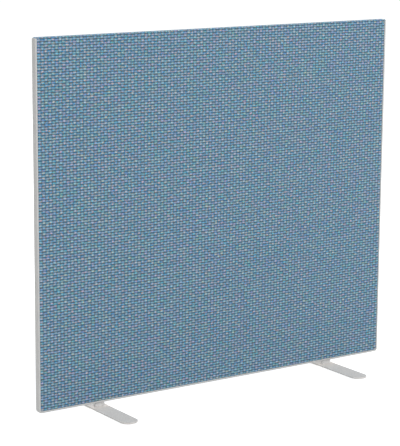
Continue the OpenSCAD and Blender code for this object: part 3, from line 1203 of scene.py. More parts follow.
        def radius(number: int, turn: float) -> float:
            """Gives a row's radius: the socket's six flats, the head, the shank or the thread.

            Args:
                number: Number of the row.
                turn: Turn round the axis.

            Returns:
                The radius.
            """
            if number in plain:
                return plain[number]
            if number < 3:
                return self.socket / 2 / math.cos((turn + math.pi / 6) % (math.pi / 3) - math.pi / 6)
            phase = (heights[number] / pitch - turn / (2 * math.pi)) % 1.0
            grown = smooth((heights[number] - bare) / (2 * pitch))
            return self.bolt_r - grown * self.thread_depth * 2 * abs(phase - 0.5)

        shape = Shape()
        shape.turned(heights, radius)
        return shape.object("bolt", self.zinc)

    def bolts(self) -> None:
        """Sets the bolt out at its two places."""
        places = [((x, 0.0, self.bolt_low), (0.0, 0.0, 0.0)) for x in self.bolt_xs]
        seed = self.bolt_seed + self.side.value
        made = self.set_out.spread(self.bolt(), places, f"bolts_{self.word}", self.bolt_wobble, seed)
        publish(made, f"foot_bolts_{self.word}")

    def build(self) -> None:
        """Builds all pieces of the foot."""
        self.plate()
        self.spacer()
        self.pads()
        self.bolts()


# Edge trims


@dataclass
class Trims:
    """The extruded trims along the two sides and the bottom, and the two rounded corner pieces."""

    extruder: Extruder
    half_w: float = 0.7
    low: float = 0.02
    end: float = 1.217
    corner_r: float = 0.012
    corner_steps: int = 12
    build_up: float = 0.0025
    web: float = 0.0012
    dome: float = 0.0013
    dome_steps: int = 12
    face_w: float = 0.006
    face_break: float = 0.6
    half_y: float = 0.011
    round_r: float = 0.001
    round_steps: int = 6
    lip: float = 0.001
    tongue: float = 0.0024
    tongue_len: float = 0.009
    barb: float = 0.0006
    barbs: int = 3
    seat: float = 0.0008
    joint: float = 0.00008
    foot_x: float = 0.47
    bolt_step: float = 0.01
    bolt_r: float = 0.0033
    bolt_steps: int = 32
    relief_x: float = 0.018
    relief_y: float = 0.004
    relief_z: float = 0.012
    cut_below: float = 0.001
    cut_above: float = 0.0005
    peg_r: float = 0.002
    peg_len: float = 0.005
    peg_arris: float = 0.0004
    peg_steps: int = 24
    plastic: ExtrudedPlastic = ExtrudedPlastic()

    def profile(self, tongue: bool) -> list[Point]:
        """Draws the section, with X out of the panel from the cloth's edge and Y across its thickness.

        Args:
            tongue: Whether the barbed tongue is on it.

        Returns:
            The points, all the way round.
        """
        nose, tip, flat = self.lip / 2, self.web - self.face_w, self.web - self.round_r
        crown = self.half_y - self.round_r
        dome_r = (crown * crown + self.dome * self.dome) / (2 * self.dome)
        half = arc((tip + nose, nose - self.half_y), nose, QUARTER, 3 * QUARTER, self.round_steps)
        half.append((lerp(tip, flat, self.face_break), -self.half_y))
        half += arc((flat, -crown), self.round_r, -QUARTER, 0.0, self.round_steps)[:-1]
        spread = math.asin(crown / dome_r)
        half += arc((self.web + self.dome - dome_r, 0.0), dome_r, -spread, 0.0, self.dome_steps)
        side = [(0.0, crown)]
        if tongue:
            step = (self.tongue_len - self.seat) / self.barbs
            thin, wide = self.tongue / 2, self.tongue / 2 + self.barb
            side += [(0.0, thin), (-self.seat, thin)]
            for number in range(self.barbs):
                start = -self.seat - number * step
                side += [(start, wide), (start - step, thin)]
        mirrored = [[(x, -y) for x, y in reversed(points)] for points in (half[:-1], side)]
        return half + mirrored[0] + side + mirrored[1]

    def strip(self, points: Sequence[Point], closed: bool, name: str) -> Piece:
        """Makes an object of edges alone, as a path or a profile.

        Args:
            points: Its points.
            closed: Whether it runs round.
            name: Its name.

        Returns:
            The object.
        """
        data = bpy.data.meshes.new(name)
        last = len(points) - 1
        edges = [(i, i + 1) for i in range(last)] + ([(last, 0)] if closed else [])
        data.from_pydata([(*point, 0.0) for point in points], edges, [])
        return linked(name, data)

    def extrude(self, path: Sequence[Point], tongue: bool, name: str) -> Piece:
        """Runs the section along a path.

        Args:
            path: Points of the cloth's edge, drawn as X and Z, anticlockwise as seen from the front.
            tongue: Whether the tongue is on the section.
            name: Name of the result.

        Returns:
            The trim as a plain mesh.
        """
        die = self.strip(self.profile(tongue), True, "die")
        line = self.strip(path, False, "path")
        made = self.extruder.run(line, name, self.plastic.material(), Profile=die)
        bpy.data.objects.remove(die)
        return made

    def cut(self, piece: Piece, cutter: Shape) -> Piece:
        """Cuts a shape out of a piece.

        Args:
            piece: The piece, which is used up.
            cutter: The shape.

        Returns:
            The cut piece as a plain mesh.
        """
        tool = cutter.object("cutter", self.plastic)
        modifier = piece.modifiers.new("cut", "BOOLEAN")
        modifier.operation, modifier.solver, modifier.object = "DIFFERENCE", "EXACT", tool
        modifier.use_self = True
        name = piece.name
        piece.name = "uncut"
        made = baked(piece, name, self.plastic.material())
        bpy.data.objects.remove(tool)
        return made

    def bottom(self) -> None:
        """Builds the bottom trim, drilled for the foot bolts and with its tongue cut back there."""
        edge, z = self.half_w - self.corner_r - self.joint, self.low + self.build_up
        made = self.extrude([(-edge, z), (edge, z)], True, "trim_bottom")
        cutter = Shape()
        for side in Side:
            middle = side.value * self.foot_x
            corners = [(middle + x * self.relief_x, y * self.relief_y) for x, y in SIGNS]
            levels = (z, z + self.relief_z)
            cutter.loft([cutter.ring((x, y, level) for x, y in corners) for level in levels], capped=True)
            levels = (self.low - self.cut_below, z + self.cut_above)
            for place in (-self.bolt_step, self.bolt_step):
                cutter.turned(levels, lambda n, t: self.bolt_r, (middle + place, 0.0), self.bolt_steps)
        publish(self.cut(made, cutter), "edge_trim_bottom")

    def upright(self, side: Side) -> None:
        """Builds a side trim, from the rounded corner up to its cut end under the top edge.

        Args:
            side: The panel's end that it covers.
        """
        x = side.value * (self.half_w - self.build_up)
        ends = [(x, self.low + self.corner_r + self.joint), (x, self.end)]
        word = side.name.lower()
        made = self.extrude(ends if side is Side.RIGHT else ends[::-1], True, f"trim_{word}")
        publish(made, f"edge_trim_{word}")

    def corner(self, side: Side) -> None:
        """Builds a rounded corner piece with its peg.

        Args:
            side: The panel's end that it stands at.
        """
        word = side.name.lower()
        radius = self.corner_r - self.build_up
        middle = (side.value * (self.half_w - self.corner_r), self.low + self.corner_r)
        start = (2 if side is Side.LEFT else 3) * QUARTER
        bend = self.extrude(arc(middle, radius, start, start + QUARTER, self.corner_steps), False, "bend")
        shape = Shape()
        shape.mesh.from_mesh(bend.data)
        bpy.data.objects.remove(bend)
        fresh = len(shape.mesh.verts)
        inner, arris = radius - self.peg_len, self.peg_arris
        shape.turned(
            (inner, inner + arris, radius + arris),
            lambda n, t: self.peg_r - (arris if n == 0 else 0.0),
            steps=self.peg_steps,
        )
        shape.mesh.verts.ensure_lookup_table()
        lean = Matrix.Rotation(side.value * 1.5 * QUARTER, 4, "Y")
        move = Matrix.Translation((middle[0], 0.0, middle[1])) @ lean
        bmesh.ops.transform(shape.mesh, matrix=move, verts=shape.mesh.verts[fresh:])
        publish(shape.object(f"corner_{word}", self.plastic), f"corner_trim_{word}")

    def build(self) -> None:
        """Builds all trims."""
        self.bottom()
        for side in Side:
            self.upright(side)
            self.corner(side)


# Cloth and stuffing


@dataclass(frozen=True)
class Station:
    """A place round a panel's outline: on a corner's arc, or a share of the way along the side after it."""

    corner: int
    turn: float
    share: float = 0.0


@dataclass
class PanelOutline:
    """A panel's outline as seen from the front, and the grid that fills it."""

    half_w: float
    low: float
    top: float
    low_r: float
    top_r: float
    across: int = 72
    up: int = 62
    arc_steps: int = 8
    reach: float = 0.014

    def stations(self) -> list[Station]:
        """Lists the places round the outline.

        Returns:
            The stations, anticlockwise from the bottom left corner.
        """
        places, steps = [], self.arc_steps
        for corner in range(4):
            start = (corner + 2) * QUARTER
            places += [Station(corner, start + QUARTER * step / steps) for step in range(steps + 1)]
            count = self.across if corner % 2 == 0 else self.up
            places += [Station(corner, start + QUARTER, step / count) for step in range(1, count)]
        return places

    def corner_point(self, corner: int, turn: float, inset: float) -> Vector:
        """Gives a point of a corner's arc.

        Args:
            corner: Number of the corner.
            turn: Turn of the point on the arc.
            inset: How far the outline is drawn in.

        Returns:
            The point, as X and Z.
        """
        sign_x, sign_z = SIGNS[corner]
        radius, edge = (self.top_r, self.top) if sign_z > 0 else (self.low_r, self.low)
        if inset >= radius:
            return Vector((sign_x * (self.half_w - inset), edge - sign_z * inset))
        middle = Vector((sign_x * (self.half_w - radius), edge - sign_z * radius))
        return middle + (radius - inset) * Vector((math.cos(turn), math.sin(turn)))

    def at(self, station: Station, inset: float) -> Vector:
        """Gives a station's place.

        Args:
            station: The station.
            inset: How far the outline is drawn in.

        Returns:
            The place, as X and Z.
        """
        first = self.corner_point(station.corner, station.turn, inset)
        if not station.share:
            return first
        return first.lerp(self.corner_point((station.corner + 1) % 4, station.turn, inset), station.share)

    def depth(self, x: float, z: float) -> float:
        """Measures how deep a place lies within the sides and the bottom.

        Args:
            x: Place along the panel.
            z: Level.

        Returns:
            The distance from the nearest of them.
        """
        from_side, from_low = self.half_w - abs(x), z - self.low
        if from_side < self.low_r and from_low < self.low_r:
            return self.low_r - math.hypot(self.low_r - from_side, self.low_r - from_low)
        return min(from_side, from_low)

    def skin(
        self,
        shape: Shape,
        rows: Sequence[Sequence[Vector]],
        height: Callable[[float, float], float],
        face: Face,
        outward: bool = True,
    ) -> list[Row]:
        """Joins rows of points round the outline and fills the last of them with a grid.

        Args:
            shape: The mesh to add to.
            rows: Rows of points from the edge inwards, one point for each station.
            height: Gives the distance from the panel's middle at a place.
            face: Which face of the panel it lies on.
            outward: Whether its outside looks away from the panel's middle.

        Returns:
            The rows and the grid's columns.
        """
        made = [shape.ring(row) for row in rows]
        turned = (face is Face.FRONT) == outward
        for first, second in zip(made, made[1:]):
            shape.bridge(*((first, second) if turned else (second, first)))
        low, high = self.low + self.reach, self.top - self.reach
        levels = [lerp(low, high, j / self.up) for j in range(self.up + 1)]
        grid = []
        for i in range(self.across + 1):
            x = lerp(-1, 1, i / self.across) * (self.half_w - self.reach)
            grid.append(shape.ring([(x, face.value * height(x, z), z) for z in levels]))
        for first, second in zip(grid, grid[1:]):
            shape.bridge(*((second, first) if turned else (first, second)), closed=False)
        return made + grid


@dataclass
class Cover:
    """One cloth up the front, over the top edge and down the back, its hems turned in under the trims."""

    half_w: float = 0.6975
    low: float = 0.0225
    top: float = 1.22
    low_r: float = 0.0095
    top_r: float = 0.005
    field_y: float = 0.011
    lip_y: float = 0.01
    lip_reach: float = 0.0048
    swell: float = 0.006
    trim_end: float = 1.217
    trim_clear: float = 0.0016
    end_swell: float = 0.0022
    hem_y: float = 0.004
    side_r: float = 0.0015
    fold_r: float = 0.003
    fold_steps: int = 5
    insets: tuple[float, ...] = (0.0036, 0.0048, 0.006, 0.0071, 0.0083, 0.0095, 0.0112)
    thickness: float = 0.0008
    ripple: float = 0.00016
    # Each wave of the ripple: its share, its lumps along, its seed and its lumps up.
    ripple_waves: tuple[tuple[float, ...], ...] = ((1.0, 7.0, 3.0, 5.0), (0.5, 23.0, 9.0, 19.0))
    ripple_from: float = 0.01
    ripple_swell: float = 0.05
    flat_from: int = 7
    crease: float = 80.0
    weave: PlainWeave = PlainWeave()

    def __post_init__(self) -> None:
        """Draws the outline that the cloth is stretched over."""
        self.outline = PanelOutline(self.half_w, self.low, self.top, self.low_r, self.top_r)

    def free(self, z: float) -> float:
        """Gives how far the cloth's edge is clear of the side trims at a level, from 0 to 1."""
        return smooth((z - self.trim_end + self.trim_clear) / self.trim_clear)

    def height(self, x: float, z: float) -> float:
        """Gives how far the cloth's outside stands from the panel's middle.

        Args:
            x: Place along the panel.
            z: Level.

        Returns:
            The distance, squeezed under the trims' lips and very slightly rippled in the field.
        """
        inside = self.outline.depth(x, z)
        under_lip = 1 - smooth((inside - self.lip_reach) / self.swell)
        squeezed = under_lip * (1 - smooth((z - self.trim_end) / self.end_swell))
        wave = sum(
            share * noise.noise(Vector((x * along, seed, z * up)))
            for share, along, seed, up in self.ripple_waves
        )
        rippled = smooth((min(inside, self.top - z) - self.ripple_from) / self.ripple_swell)
        return lerp(self.field_y, self.lip_y, squeezed) + self.ripple * wave * rippled

    def section(self, station: Station) -> list[Point]:
        """Draws the cloth's section at a station.

        Args:
            station: Place round the outline.

        Returns:
            Points from the hem's edge inwards: the inset and the distance from the panel's middle of each.
        """
        edge = self.outline.at(station, 0.0)
        free = self.free(edge.y)
        radius = lerp(self.side_r, self.fold_r, free)
        rim = self.height(edge.x, edge.y) - radius
        points = [(0.0, lerp(self.hem_y * (1 - free), rim, share)) for share in (0.0, 0.5)]
        turns = [QUARTER * step / self.fold_steps for step in range(self.fold_steps + 1)]
        drops = [(radius * (1 - math.cos(turn)), radius * (1 - math.sin(turn))) for turn in turns]
        for inset, drop in drops + [(inset, 0.0) for inset in (*self.insets, self.outline.reach)]:
            place = self.outline.at(station, inset)
            points.append((inset, self.height(place.x, place.y) - drop))
        return points

    def outward(self, station: Station) -> Vector:
        """Gives the direction out of the panel at a station."""
        turn = (station.corner - 1) * QUARTER if station.share else station.turn
        return Vector((math.cos(turn), math.sin(turn)))

    def flat_place(self, station: Station, section: Sequence[Point], number: int) -> Vector:
        """Gives where a point of the section lies on the cloth before it was folded.

        Args:
            station: Place round the outline.
            section: The section there.
            number: Number of the point.

        Returns:
            The place on the flat cloth, in metres: its own on the face, and past the face as much further out
            as the cloth is long up to it.
        """
        start = max(number, self.flat_from)
        length = sum(math.dist(a, b) for a, b in zip(section[number:start], section[number + 1 : start + 1]))
        return self.outline.at(station, section[start][0]) + self.outward(station) * length

    def stand(self, station: Station, point: Point, face: Face) -> Vector:
        """Stands a point of a station's section on a face of the panel."""
        place = self.outline.at(station, point[0])
        return Vector((place.x, face.value * point[1], place.y))

    def cloth(self) -> None:
        """Builds the cloth, maps its weave and gives it its thickness."""
        shape = Shape()
        stations = self.outline.stations()
        sections = [self.section(station) for station in stations]
        count = len(sections[0])
        # Any station well within the top edge gives the level at which the cloth goes over it.
        top = next(i for i, s in enumerate(stations) if s.corner == 2 and s.share > 0.4)
        over = self.flat_place(stations[top], sections[top], 0).y
        flat: dict[bmesh.types.BMVert, Point] = {}
        for face in Face:
            places = list(zip(stations, sections))
            rows = [[self.stand(s, section[n], face) for s, section in places] for n in range(count)]
            for number, row in enumerate(self.outline.skin(shape, rows, self.height, face)):
                for i, vert in enumerate(row):
                    x, y = vert.co.xz if number >= count else self.flat_place(*places[i], number)
                    flat[vert] = (x, y if face is Face.FRONT else 2 * over - y)
        chart = shape.mesh.loops.layers.uv.new("cloth")
        for patch in shape.mesh.faces:
            for loop in patch.loops:
                loop[chart].uv = flat[loop.vert]
        made = shape.object("cloth", self.weave, closed=False, crease=self.crease)
        wall = made.modifiers.new("thickness", "SOLIDIFY")
        wall.thickness, wall.offset, wall.use_even_offset = self.thickness, -1.0, True
        made = baked(made, "cloth_front_to_back", self.weave.material(), self.crease)
        publish(made, "cloth_cover")


@dataclass
class Stuffing:
    """The two wadding layers under the cloth and the core slabs in the frame's three bays."""

    half_w: float = 0.6967
    low: float = 0.0233
    top: float = 1.2192
    low_r: float = 0.0087
    top_r: float = 0.0042
    grid: tuple[int, int, int] = (60, 52, 6)
    reach: float = 0.012
    frame_y: float = 0.008
    full: float = 0.00215
    squeezed: float = 0.00115
    lip_reach: float = 0.004
    swell: float = 0.006
    fold_r: float = 0.0022
    insets: tuple[float, ...] = (0.0002, 0.0006, 0.0012, 0.0024, 0.004, 0.0055, 0.007, 0.0085, 0.0101)
    edge_share: float = 0.8
    loft: float = 0.00012
    loft_scale: float = 40.0
    loft_from: float = 0.4
    wadding_fill: float = 0.5
    bay_low: float = 0.0936
    bay_top: float = 1.1739
    # Each bay: its word, its left edge and its right edge.
    bays: tuple[tuple[str, float, float], ...] = (
        ("left", -0.6514, -0.25363),
        ("centre", -0.21303, 0.21303),
        ("right", 0.25363, 0.6514),
    )
    arris: float = 0.0018
    arris_marks: tuple[float, ...] = (0.0, 0.25, 0.6)
    cells: tuple[float, float, float] = (0.022, 0.004, 0.022)
    # Each layer of the slabs' unevenness: its depth and its lumps for each metre.
    dips: tuple[Point, ...] = ((0.0002, 55.0), (0.0003, 300.0))
    slab_fill: float = 1.0
    felt: Felt = Felt(
        "needled wadding",
        dark=srgb(196, 196, 190),
        pale=srgb(236, 236, 232),
        fleck=srgb(150, 160, 170),
        fleck_share=0.06,
        depth=0.0006,
    )
    fibre: Felt = Felt(
        "pressed fibre",
        dark=srgb(92, 94, 92),
        pale=srgb(158, 160, 156),
        fleck=srgb(70, 104, 132),
        fleck_share=0.3,
        depth=0.0008,
    )

    def __post_init__(self) -> None:
        """Draws the wadding's outline."""
        sizes = (self.half_w, self.low, self.top, self.low_r, self.top_r)
        self.outline = PanelOutline(*sizes, *self.grid, self.reach)

    def thickness(self, x: float, z: float) -> float:
        """Gives the wadding's thickness, less under the lips and round the top fold.

        Args:
            x: Place along the panel.
            z: Level.

        Returns:
            The thickness.
        """
        field_share = smooth((self.outline.depth(x, z) - self.lip_reach) / self.swell)
        thick = lerp(self.squeezed, self.full, field_share)
        rise = max(0.0, z - (self.top - self.fold_r))
        fold = math.sqrt(max(0.0, self.fold_r**2 - rise**2))
        lofty = self.loft * noise.noise(Vector((x * self.loft_scale, 1.0, z * self.loft_scale)))
        lofty *= smooth(thick / self.full - self.loft_from) * (fold > self.full)
        return max(0.0, min(thick, fold) + lofty)

    def wadding(self, face: Face) -> None:
        """Builds one wadding layer, closed all round.

        Args:
            face: The face of the panel that it lies on.
        """
        shape, outline, frame_y = Shape(), self.outline, self.frame_y
        stations = outline.stations()

        def row(inset: float, share: float) -> list[Vector]:
            """Gives a row of points at an inset, a share of the thickness above the frame."""
            spots = (outline.at(station, inset) for station in stations)
            return [Vector((s.x, face.value * (frame_y + share * self.thickness(*s)), s.y)) for s in spots]

        rows = [row(0.0, 0.0), row(0.0, self.edge_share)]
        rows += [row(inset, 1.0) for inset in (*self.insets, outline.reach)]
        outline.skin(shape, rows, lambda x, z: frame_y + self.thickness(x, z), face)
        outline.skin(shape, [row(0.0, 0.0), row(outline.reach, 0.0)], lambda x, z: frame_y, face, False)
        word = face.name.lower()
        made = shape.object(f"wadding_{word}_felt", self.felt)
        publish(made, f"wadding_{word}")

    def marks(self, start: float, end: float, cell: float) -> list[float]:
        """Lists a slab's grid lines along one axis, closer together at the ends.

        Args:
            start: Where the slab starts.
            end: Where it ends.
            cell: About how wide its cells are.

        Returns:
            The places of the lines.
        """
        low, high = start + self.arris, end - self.arris
        count = max(1, round((end - start - 2 * self.arris) / cell))
        near = [share * self.arris for share in self.arris_marks]
        middle = [lerp(low, high, i / count) for i in range(count + 1)]
        return [*(start + n for n in near), *middle, *(end - n for n in reversed(near))]

    def slab(self, word: str, low_x: float, high_x: float) -> None:
        """Builds one core slab with soft arrises and an uneven, fibrous surface.

        Args:
            word: Which bay it fills.
            low_x: Its left edge.
            high_x: Its right edge.
        """
        shape = Shape()
        low = Vector((low_x, -self.frame_y, self.bay_low))
        high = Vector((high_x, self.frame_y, self.bay_top))
        lines = [self.marks(low[axis], high[axis], cell) for axis, cell in enumerate(self.cells)]
        for axis in range(3):
            first, second = (axis + 1) % 3, (axis + 2) % 3
            for end in (low[axis], high[axis]):
                columns = []
                for a in lines[first]:
                    points = []
                    for b in lines[second]:
                        point = [0.0, 0.0, 0.0]
                        point[axis], point[first], point[second] = end, a, b
                        points.append(point)
                    columns.append(shape.ring(points))
                shape.loft(columns, closed=False)
        bmesh.ops.remove_doubles(shape.mesh, verts=shape.mesh.verts, dist=WELD / 10)
        for vert in shape.mesh.verts:
            core = Vector(min(max(vert.co[i], low[i] + self.arris), high[i] - self.arris) for i in range(3))
            lean = vert.co - core
            if lean.length > 0:
                dip = sum(deep * abs(noise.noise(vert.co * scale)) for deep, scale in self.dips)
                vert.co = core + lean.normalized() * (self.arris - dip)
        made = shape.object(f"core_{word}_fibre", self.fibre)
        publish(made, f"core_slab_{word}")

    def build(self) -> None:
        """Builds the wadding and the slabs."""
        for face in Face:
            self.wadding(face)
        for bay in self.bays:
            self.slab(*bay)


# Frame and its fixings


@dataclass
class TimberFrame:
    """The softwood frame, its fluted dowels and threaded inserts, and the staples that hold the hems."""

    set_out: SetOut
    joint_x: float = 0.6517
    mullion_x: float = 0.7 / 3
    low: float = 0.0233
    low_joint: float = 0.0933
    high_joint: float = 1.1742
    high: float = 1.2192
    dowel_r: float = 0.004
    dowel_len: float = 0.04
    dowel_step: float = 0.011
    dowel_bevel: float = 0.001
    bevel_share: float = 0.7
    flutes: int = 18
    flute_depth: float = 0.00012
    flute_steps: int = 4
    dowel_seed: int = 11
    insert_r: float = 0.005
    insert_bore: float = 0.0031
    insert_len: float = 0.015
    insert_pitch: float = 0.0025
    insert_depth: float = 0.0007
    insert_steps: int = 8
    insert_flank: float = 1.6
    insert_run_out: float = 0.002
    bore_arris: float = 0.0004
    bore_bevel: float = 0.0005
    insert_wobble: float = 1.5
    insert_seed: int = 4
    foot_x: float = 0.47
    bolt_step: float = 0.01
    staple_crown: float = 0.01
    staple_leg: float = 0.008
    staple_bend: float = 0.0009
    staple_steps: int = 3
    wire_w: float = 0.0012
    wire_t: float = 0.0005
    staple_y: float = 0.006
    staple_pitch: float = 0.1
    staple_wobble: float = 0.03
    staple_seed: int = 8
    hem_x: float = 0.6975
    hem_z: float = 0.0225
    corner_x: float = 0.688
    corner_z: float = 0.032
    trim_end: float = 1.217
    upright: Timber = Timber("softwood, upright", Grain.UPRIGHT)
    across: Timber = Timber("softwood, across", Grain.ACROSS)
    beech_up: Timber = Timber("beech, upright", Grain.UPRIGHT, srgb(226, 196, 160), srgb(204, 168, 128))
    beech_across: Timber = Timber("beech, across", Grain.ACROSS, srgb(226, 196, 160), srgb(204, 168, 128))
    brass: BareMetal = BareMetal("turned brass", srgb(168, 132, 66), srgb(214, 184, 112), 0.3)
    wire: BareMetal = BareMetal("galvanised wire", srgb(140, 142, 144), srgb(196, 198, 200), 0.38)

    def dress(self) -> None:
        """Gives the boards their wood, with the grain along each."""
        for node in ("frame_stile_left", "frame_stile_right", "frame_mullion_left", "frame_mullion_right"):
            dress_node(node, self.upright)
        for node in ("frame_rail_top", "frame_rail_bottom"):
            dress_node(node, self.across)

    def dowel(self, finish: Timber) -> Piece:
        """Builds one fluted dowel.

        Args:
            finish: Its wood.

        Returns:
            The dowel, at the origin and along Z.
        """
        half, bevel = self.dowel_len / 2, self.dowel_bevel

        def radius(number: int, turn: float) -> float:
            """Gives the radius of a row at a turn, less in the flutes and at the bevelled ends."""
            groove = self.flute_depth * (1 - math.cos(turn * self.flutes))
            return self.dowel_r - (bevel * self.bevel_share if number in (0, 3) else 0.0) - groove

        shape = Shape()
        shape.turned((-half, bevel - half, half - bevel, half), radius, steps=self.flute_steps * self.flutes)
        return shape.object("dowel", finish)

    def dowels(self) -> None:
        """Sets the dowels out at the joints, lying in the stiles and standing in the mullions."""
        steps = (-self.dowel_step, self.dowel_step)
        rails = ((self.low + self.low_joint) / 2, (self.high_joint + self.high) / 2)
        joints = (self.low_joint, self.high_joint)
        lying = [
            ((side.value * self.joint_x, 0.0, level + step), (0.0, QUARTER, 0.0))
            for side in Side
            for level in rails
            for step in steps
        ]
        standing = [
            ((side.value * self.mullion_x + step, 0.0, level), (0.0, 0.0, 0.0))
            for side in Side
            for level in joints
            for step in steps
        ]
        sorts = (("lying", self.beech_across, lying), ("standing", self.beech_up, standing))
        for word, finish, places in sorts:
            made = self.set_out.spread(self.dowel(finish), places, f"dowels_{word}", math.pi, self.dowel_seed)
            publish(made, "frame_dowels")

    def insert(self) -> Piece:
        """Builds one threaded insert, with its coarse thread outside and its bore inside.

        Returns:
            The insert, at the origin and upwards.
        """
        pitch, length, bevel = self.insert_pitch, self.insert_len, self.bore_bevel
        count = int(length / pitch * self.insert_steps)
        outside = [length * i / count for i in range(count + 1)]
        bore = {length: self.bore_arris, length - bevel: 0.0, bevel: 0.0, 0.0: self.bore_arris}
        heights, wider = [*outside, *bore], list(bore.values())

        def radius(number: int, turn: float) -> float:
            """Gives a row's radius.

            Args:
                number: Number of the row, up the thread and then down the bore.
                turn: Turn round the axis.

            Returns:
                The radius.
            """
            if number > count:
                return self.insert_bore + wider[number - count - 1]
            level = heights[number]
            phase = (level / pitch - turn / (2 * math.pi)) % 1.0
            ends = smooth(level / self.insert_run_out) * smooth((length - level) / self.insert_run_out)
            return self.insert_r - self.insert_depth * smooth(abs(2 * phase - 1) * self.insert_flank) * ends

        shape = Shape()
        rows = shape.turned(heights, radius, capped=False)
        shape.bridge(rows[-1], rows[0])
        return shape.object("insert", self.brass)

    def inserts(self) -> None:
        """Sets the threaded inserts out in the bottom rail."""
        steps = (-self.bolt_step, self.bolt_step)
        xs = [side.value * self.foot_x + step for side in Side for step in steps]
        places = [((x, 0.0, self.low), (0.0, 0.0, 0.0)) for x in xs]
        made = self.set_out.spread(self.insert(), places, "inserts", self.insert_wobble, self.insert_seed)
        publish(made, "threaded_inserts")

    def staple(self) -> Piece:
        """Builds one staple.

        Returns:
            The staple, with its crown's outside at the origin and its legs down.
        """
        half, bend, steps = self.staple_crown / 2, self.staple_bend, self.staple_steps
        path = [((-half, -self.staple_leg), math.pi)]
        for side, start in ((-1, math.pi), (1, QUARTER)):
            bent = arc((side * (half - bend), -bend), bend, start, start - QUARTER, steps)
            path += [(point, start - QUARTER * step / steps) for step, point in enumerate(bent)]
        path.append(((half, -self.staple_leg), 0.0))
        wide, thick = self.wire_w / 2, self.wire_t
        section = ((0.0, -wide), (0.0, wide), (thick, wide), (thick, -wide))
        shape = Shape()
        rows = []
        for (x, z), turn in path:
            inward = Vector((-math.cos(turn), -math.sin(turn)))
            rows.append(shape.ring((x + inward.x * depth, y, z + inward.y * depth) for depth, y in section))
        shape.loft(rows, capped=True)
        return shape.object("staple", self.wire)

    def spaced(self, low: float, high: float) -> list[float]:
        """Spreads places evenly between two ends, about one staple pitch apart."""
        count = max(1, round((high - low) / self.staple_pitch))
        return [low + (high - low) * (i + 0.5) / count for i in range(count)]

    def staples(self) -> None:
        """Sets the staples out along the side hems and the bottom hems."""
        places = []
        for face in Face:
            y = face.value * self.staple_y
            for side in Side:
                x, turn = side.value * self.hem_x, (0.0, side.value * QUARTER, 0.0)
                places += [((x, y, z), turn) for z in self.spaced(self.corner_z, self.trim_end)]
            turn = (math.pi, 0.0, 0.0)
            places += [((x, y, self.hem_z), turn) for x in self.spaced(-self.corner_x, self.corner_x)]
        made = self.set_out.spread(self.staple(), places, "staples", self.staple_wobble, self.staple_seed)
        publish(made, "cover_staples")

    def build(self) -> None:
        """Dresses the boards and builds what joins them."""
        self.dress()
        self.dowels()
        self.inserts()
        self.staples()


# Studio


@dataclass(frozen=True)
class Lamp:
    """A square soft lamp that looks at the middle of the panel."""

    name: str
    place: tuple[float, float, float]
    size: float
    watts: float
    aim: tuple[float, float, float] = (0.0, 0.0, 0.6)

    def hang(self) -> None:
        """Makes the lamp, hangs it and turns it to what it looks at."""
        data = bpy.data.lights.new(self.name, "AREA")
        data.size, data.energy = self.size, self.watts
        lamp = linked(self.name, data)
        lamp.location = self.place
        look = Vector(self.aim) - Vector(self.place)
        lamp.rotation_euler = look.to_track_quat("-Z", "Y").to_euler()


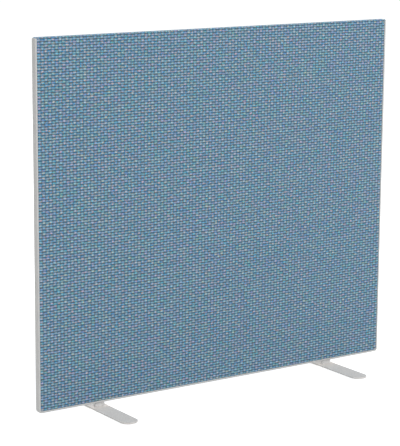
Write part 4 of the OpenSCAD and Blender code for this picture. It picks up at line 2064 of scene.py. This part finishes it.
@dataclass
class Studio:
    """A plain white floor, soft lamps and the camera at the photograph's viewing angle."""

    eye: tuple[float, float, float] = (-3.34, -4.776, 1.725)
    yaw: float = -34.355
    pitch: float = 11.253
    roll: float = 0.41
    focal_pixels: float = 1772.0
    long_side: float = 446.0
    sensor: float = 36.0
    far: float = 200.0
    sky: float = 0.58
    floor_albedo: float = 0.8
    floor_lift: float = 0.58
    floor_r: float = 60.0
    floor_steps: int = 64
    lamps: tuple[Lamp, ...] = (
        Lamp("key", (-1.35, -6.3, 9.0), 4.5, 532.0),
        Lamp("fill", (4.6, -2.6, 2.6), 3.0, 42.0),
        Lamp("back", (1.0, 5.0, 4.0), 3.0, 165.0),
    )

    def camera(self) -> None:
        """Makes the camera and sets it as the scene's."""
        data = bpy.data.cameras.new("camera")
        data.sensor_width = self.sensor
        data.lens = self.focal_pixels * self.sensor / self.long_side
        data.clip_end = self.far
        yaw, pitch, roll = (math.radians(angle) for angle in (self.yaw, self.pitch, self.roll))
        ahead = Vector((-math.sin(yaw) * math.cos(pitch), math.cos(yaw) * math.cos(pitch), -math.sin(pitch)))
        level = Vector((math.cos(yaw), math.sin(yaw), 0.0))
        above = level.cross(ahead)
        right = math.cos(roll) * level + math.sin(roll) * above
        up = math.cos(roll) * above - math.sin(roll) * level
        rig = linked("camera", data)
        rig.matrix_world = Matrix.Translation(self.eye) @ Matrix((right, up, -ahead)).transposed().to_4x4()
        bpy.context.scene.camera = rig

    def background_rays(self, nodes: Nodes) -> Socket:
        """Finds the rays that show the background as such, straight on or by gloss or glass.

        Args:
            nodes: The tree to add to.

        Returns:
            A socket that is 1 for such rays and else 0.
        """
        rays = nodes.add("ShaderNodeLightPath")
        total = rays.outputs["Is Camera Ray"]
        for name in ("Is Glossy Ray", "Is Transmission Ray"):
            total = nodes.maths("MAXIMUM", total, rays.outputs[name])
        return total

    def world(self) -> None:
        """Makes a plain white sky that lights the object softly from all sides."""
        world = bpy.data.worlds.new("studio")
        world.use_nodes = True
        bpy.context.scene.world = world
        nodes = Nodes(world.node_tree)
        background = world.node_tree.nodes["Background"]
        strength = nodes.get("ShaderNodeMix", {0: self.background_rays(nodes), 2: self.sky, 3: 1.0})
        nodes.feed(background.inputs["Strength"], strength)
        nodes.feed(background.inputs["Color"], (1.0, 1.0, 1.0))

    def floor(self) -> None:
        """Makes the white floor, which keeps the object's shadow."""
        coat = bpy.data.materials.new("white floor")
        coat.use_nodes = True
        coat.node_tree.nodes.clear()
        nodes = Nodes(coat.node_tree)
        shade = nodes.get("ShaderNodeBsdfDiffuse", {"Color": (self.floor_albedo,) * 3})
        lift = nodes.maths("MULTIPLY", self.background_rays(nodes), self.floor_lift)
        glow = nodes.get("ShaderNodeEmission", {"Strength": lift})
        both = nodes.get("ShaderNodeAddShader", {0: shade, 1: glow})
        nodes.add("ShaderNodeOutputMaterial", {"Surface": both})
        data = bpy.data.meshes.new("floor")
        rim = arc((0.0, 0.0), self.floor_r, 0.0, 4 * QUARTER, self.floor_steps)[:-1]
        data.from_pydata([(*point, 0.0) for point in rim], [], [tuple(range(len(rim)))])
        place_mesh("floor", data, coat)

    def build(self) -> None:
        """Sets up the studio."""
        bpy.context.scene.view_settings.view_transform = "Standard"
        self.camera()
        self.world()
        self.floor()
        for lamp in self.lamps:
            lamp.hang()


def main() -> None:
    """Builds the studio and the screen, piece by piece."""
    logging.basicConfig(level=logging.INFO, format="%(message)s")
    Studio().build()
    set_out, extruder = SetOut(), Extruder()
    for side in Side:
        Foot(side, set_out).build()
    Trims(extruder).build()
    Stuffing().build()
    Cover().cloth()
    TimberFrame(set_out).build()


if __name__ == "__main__":
    main()
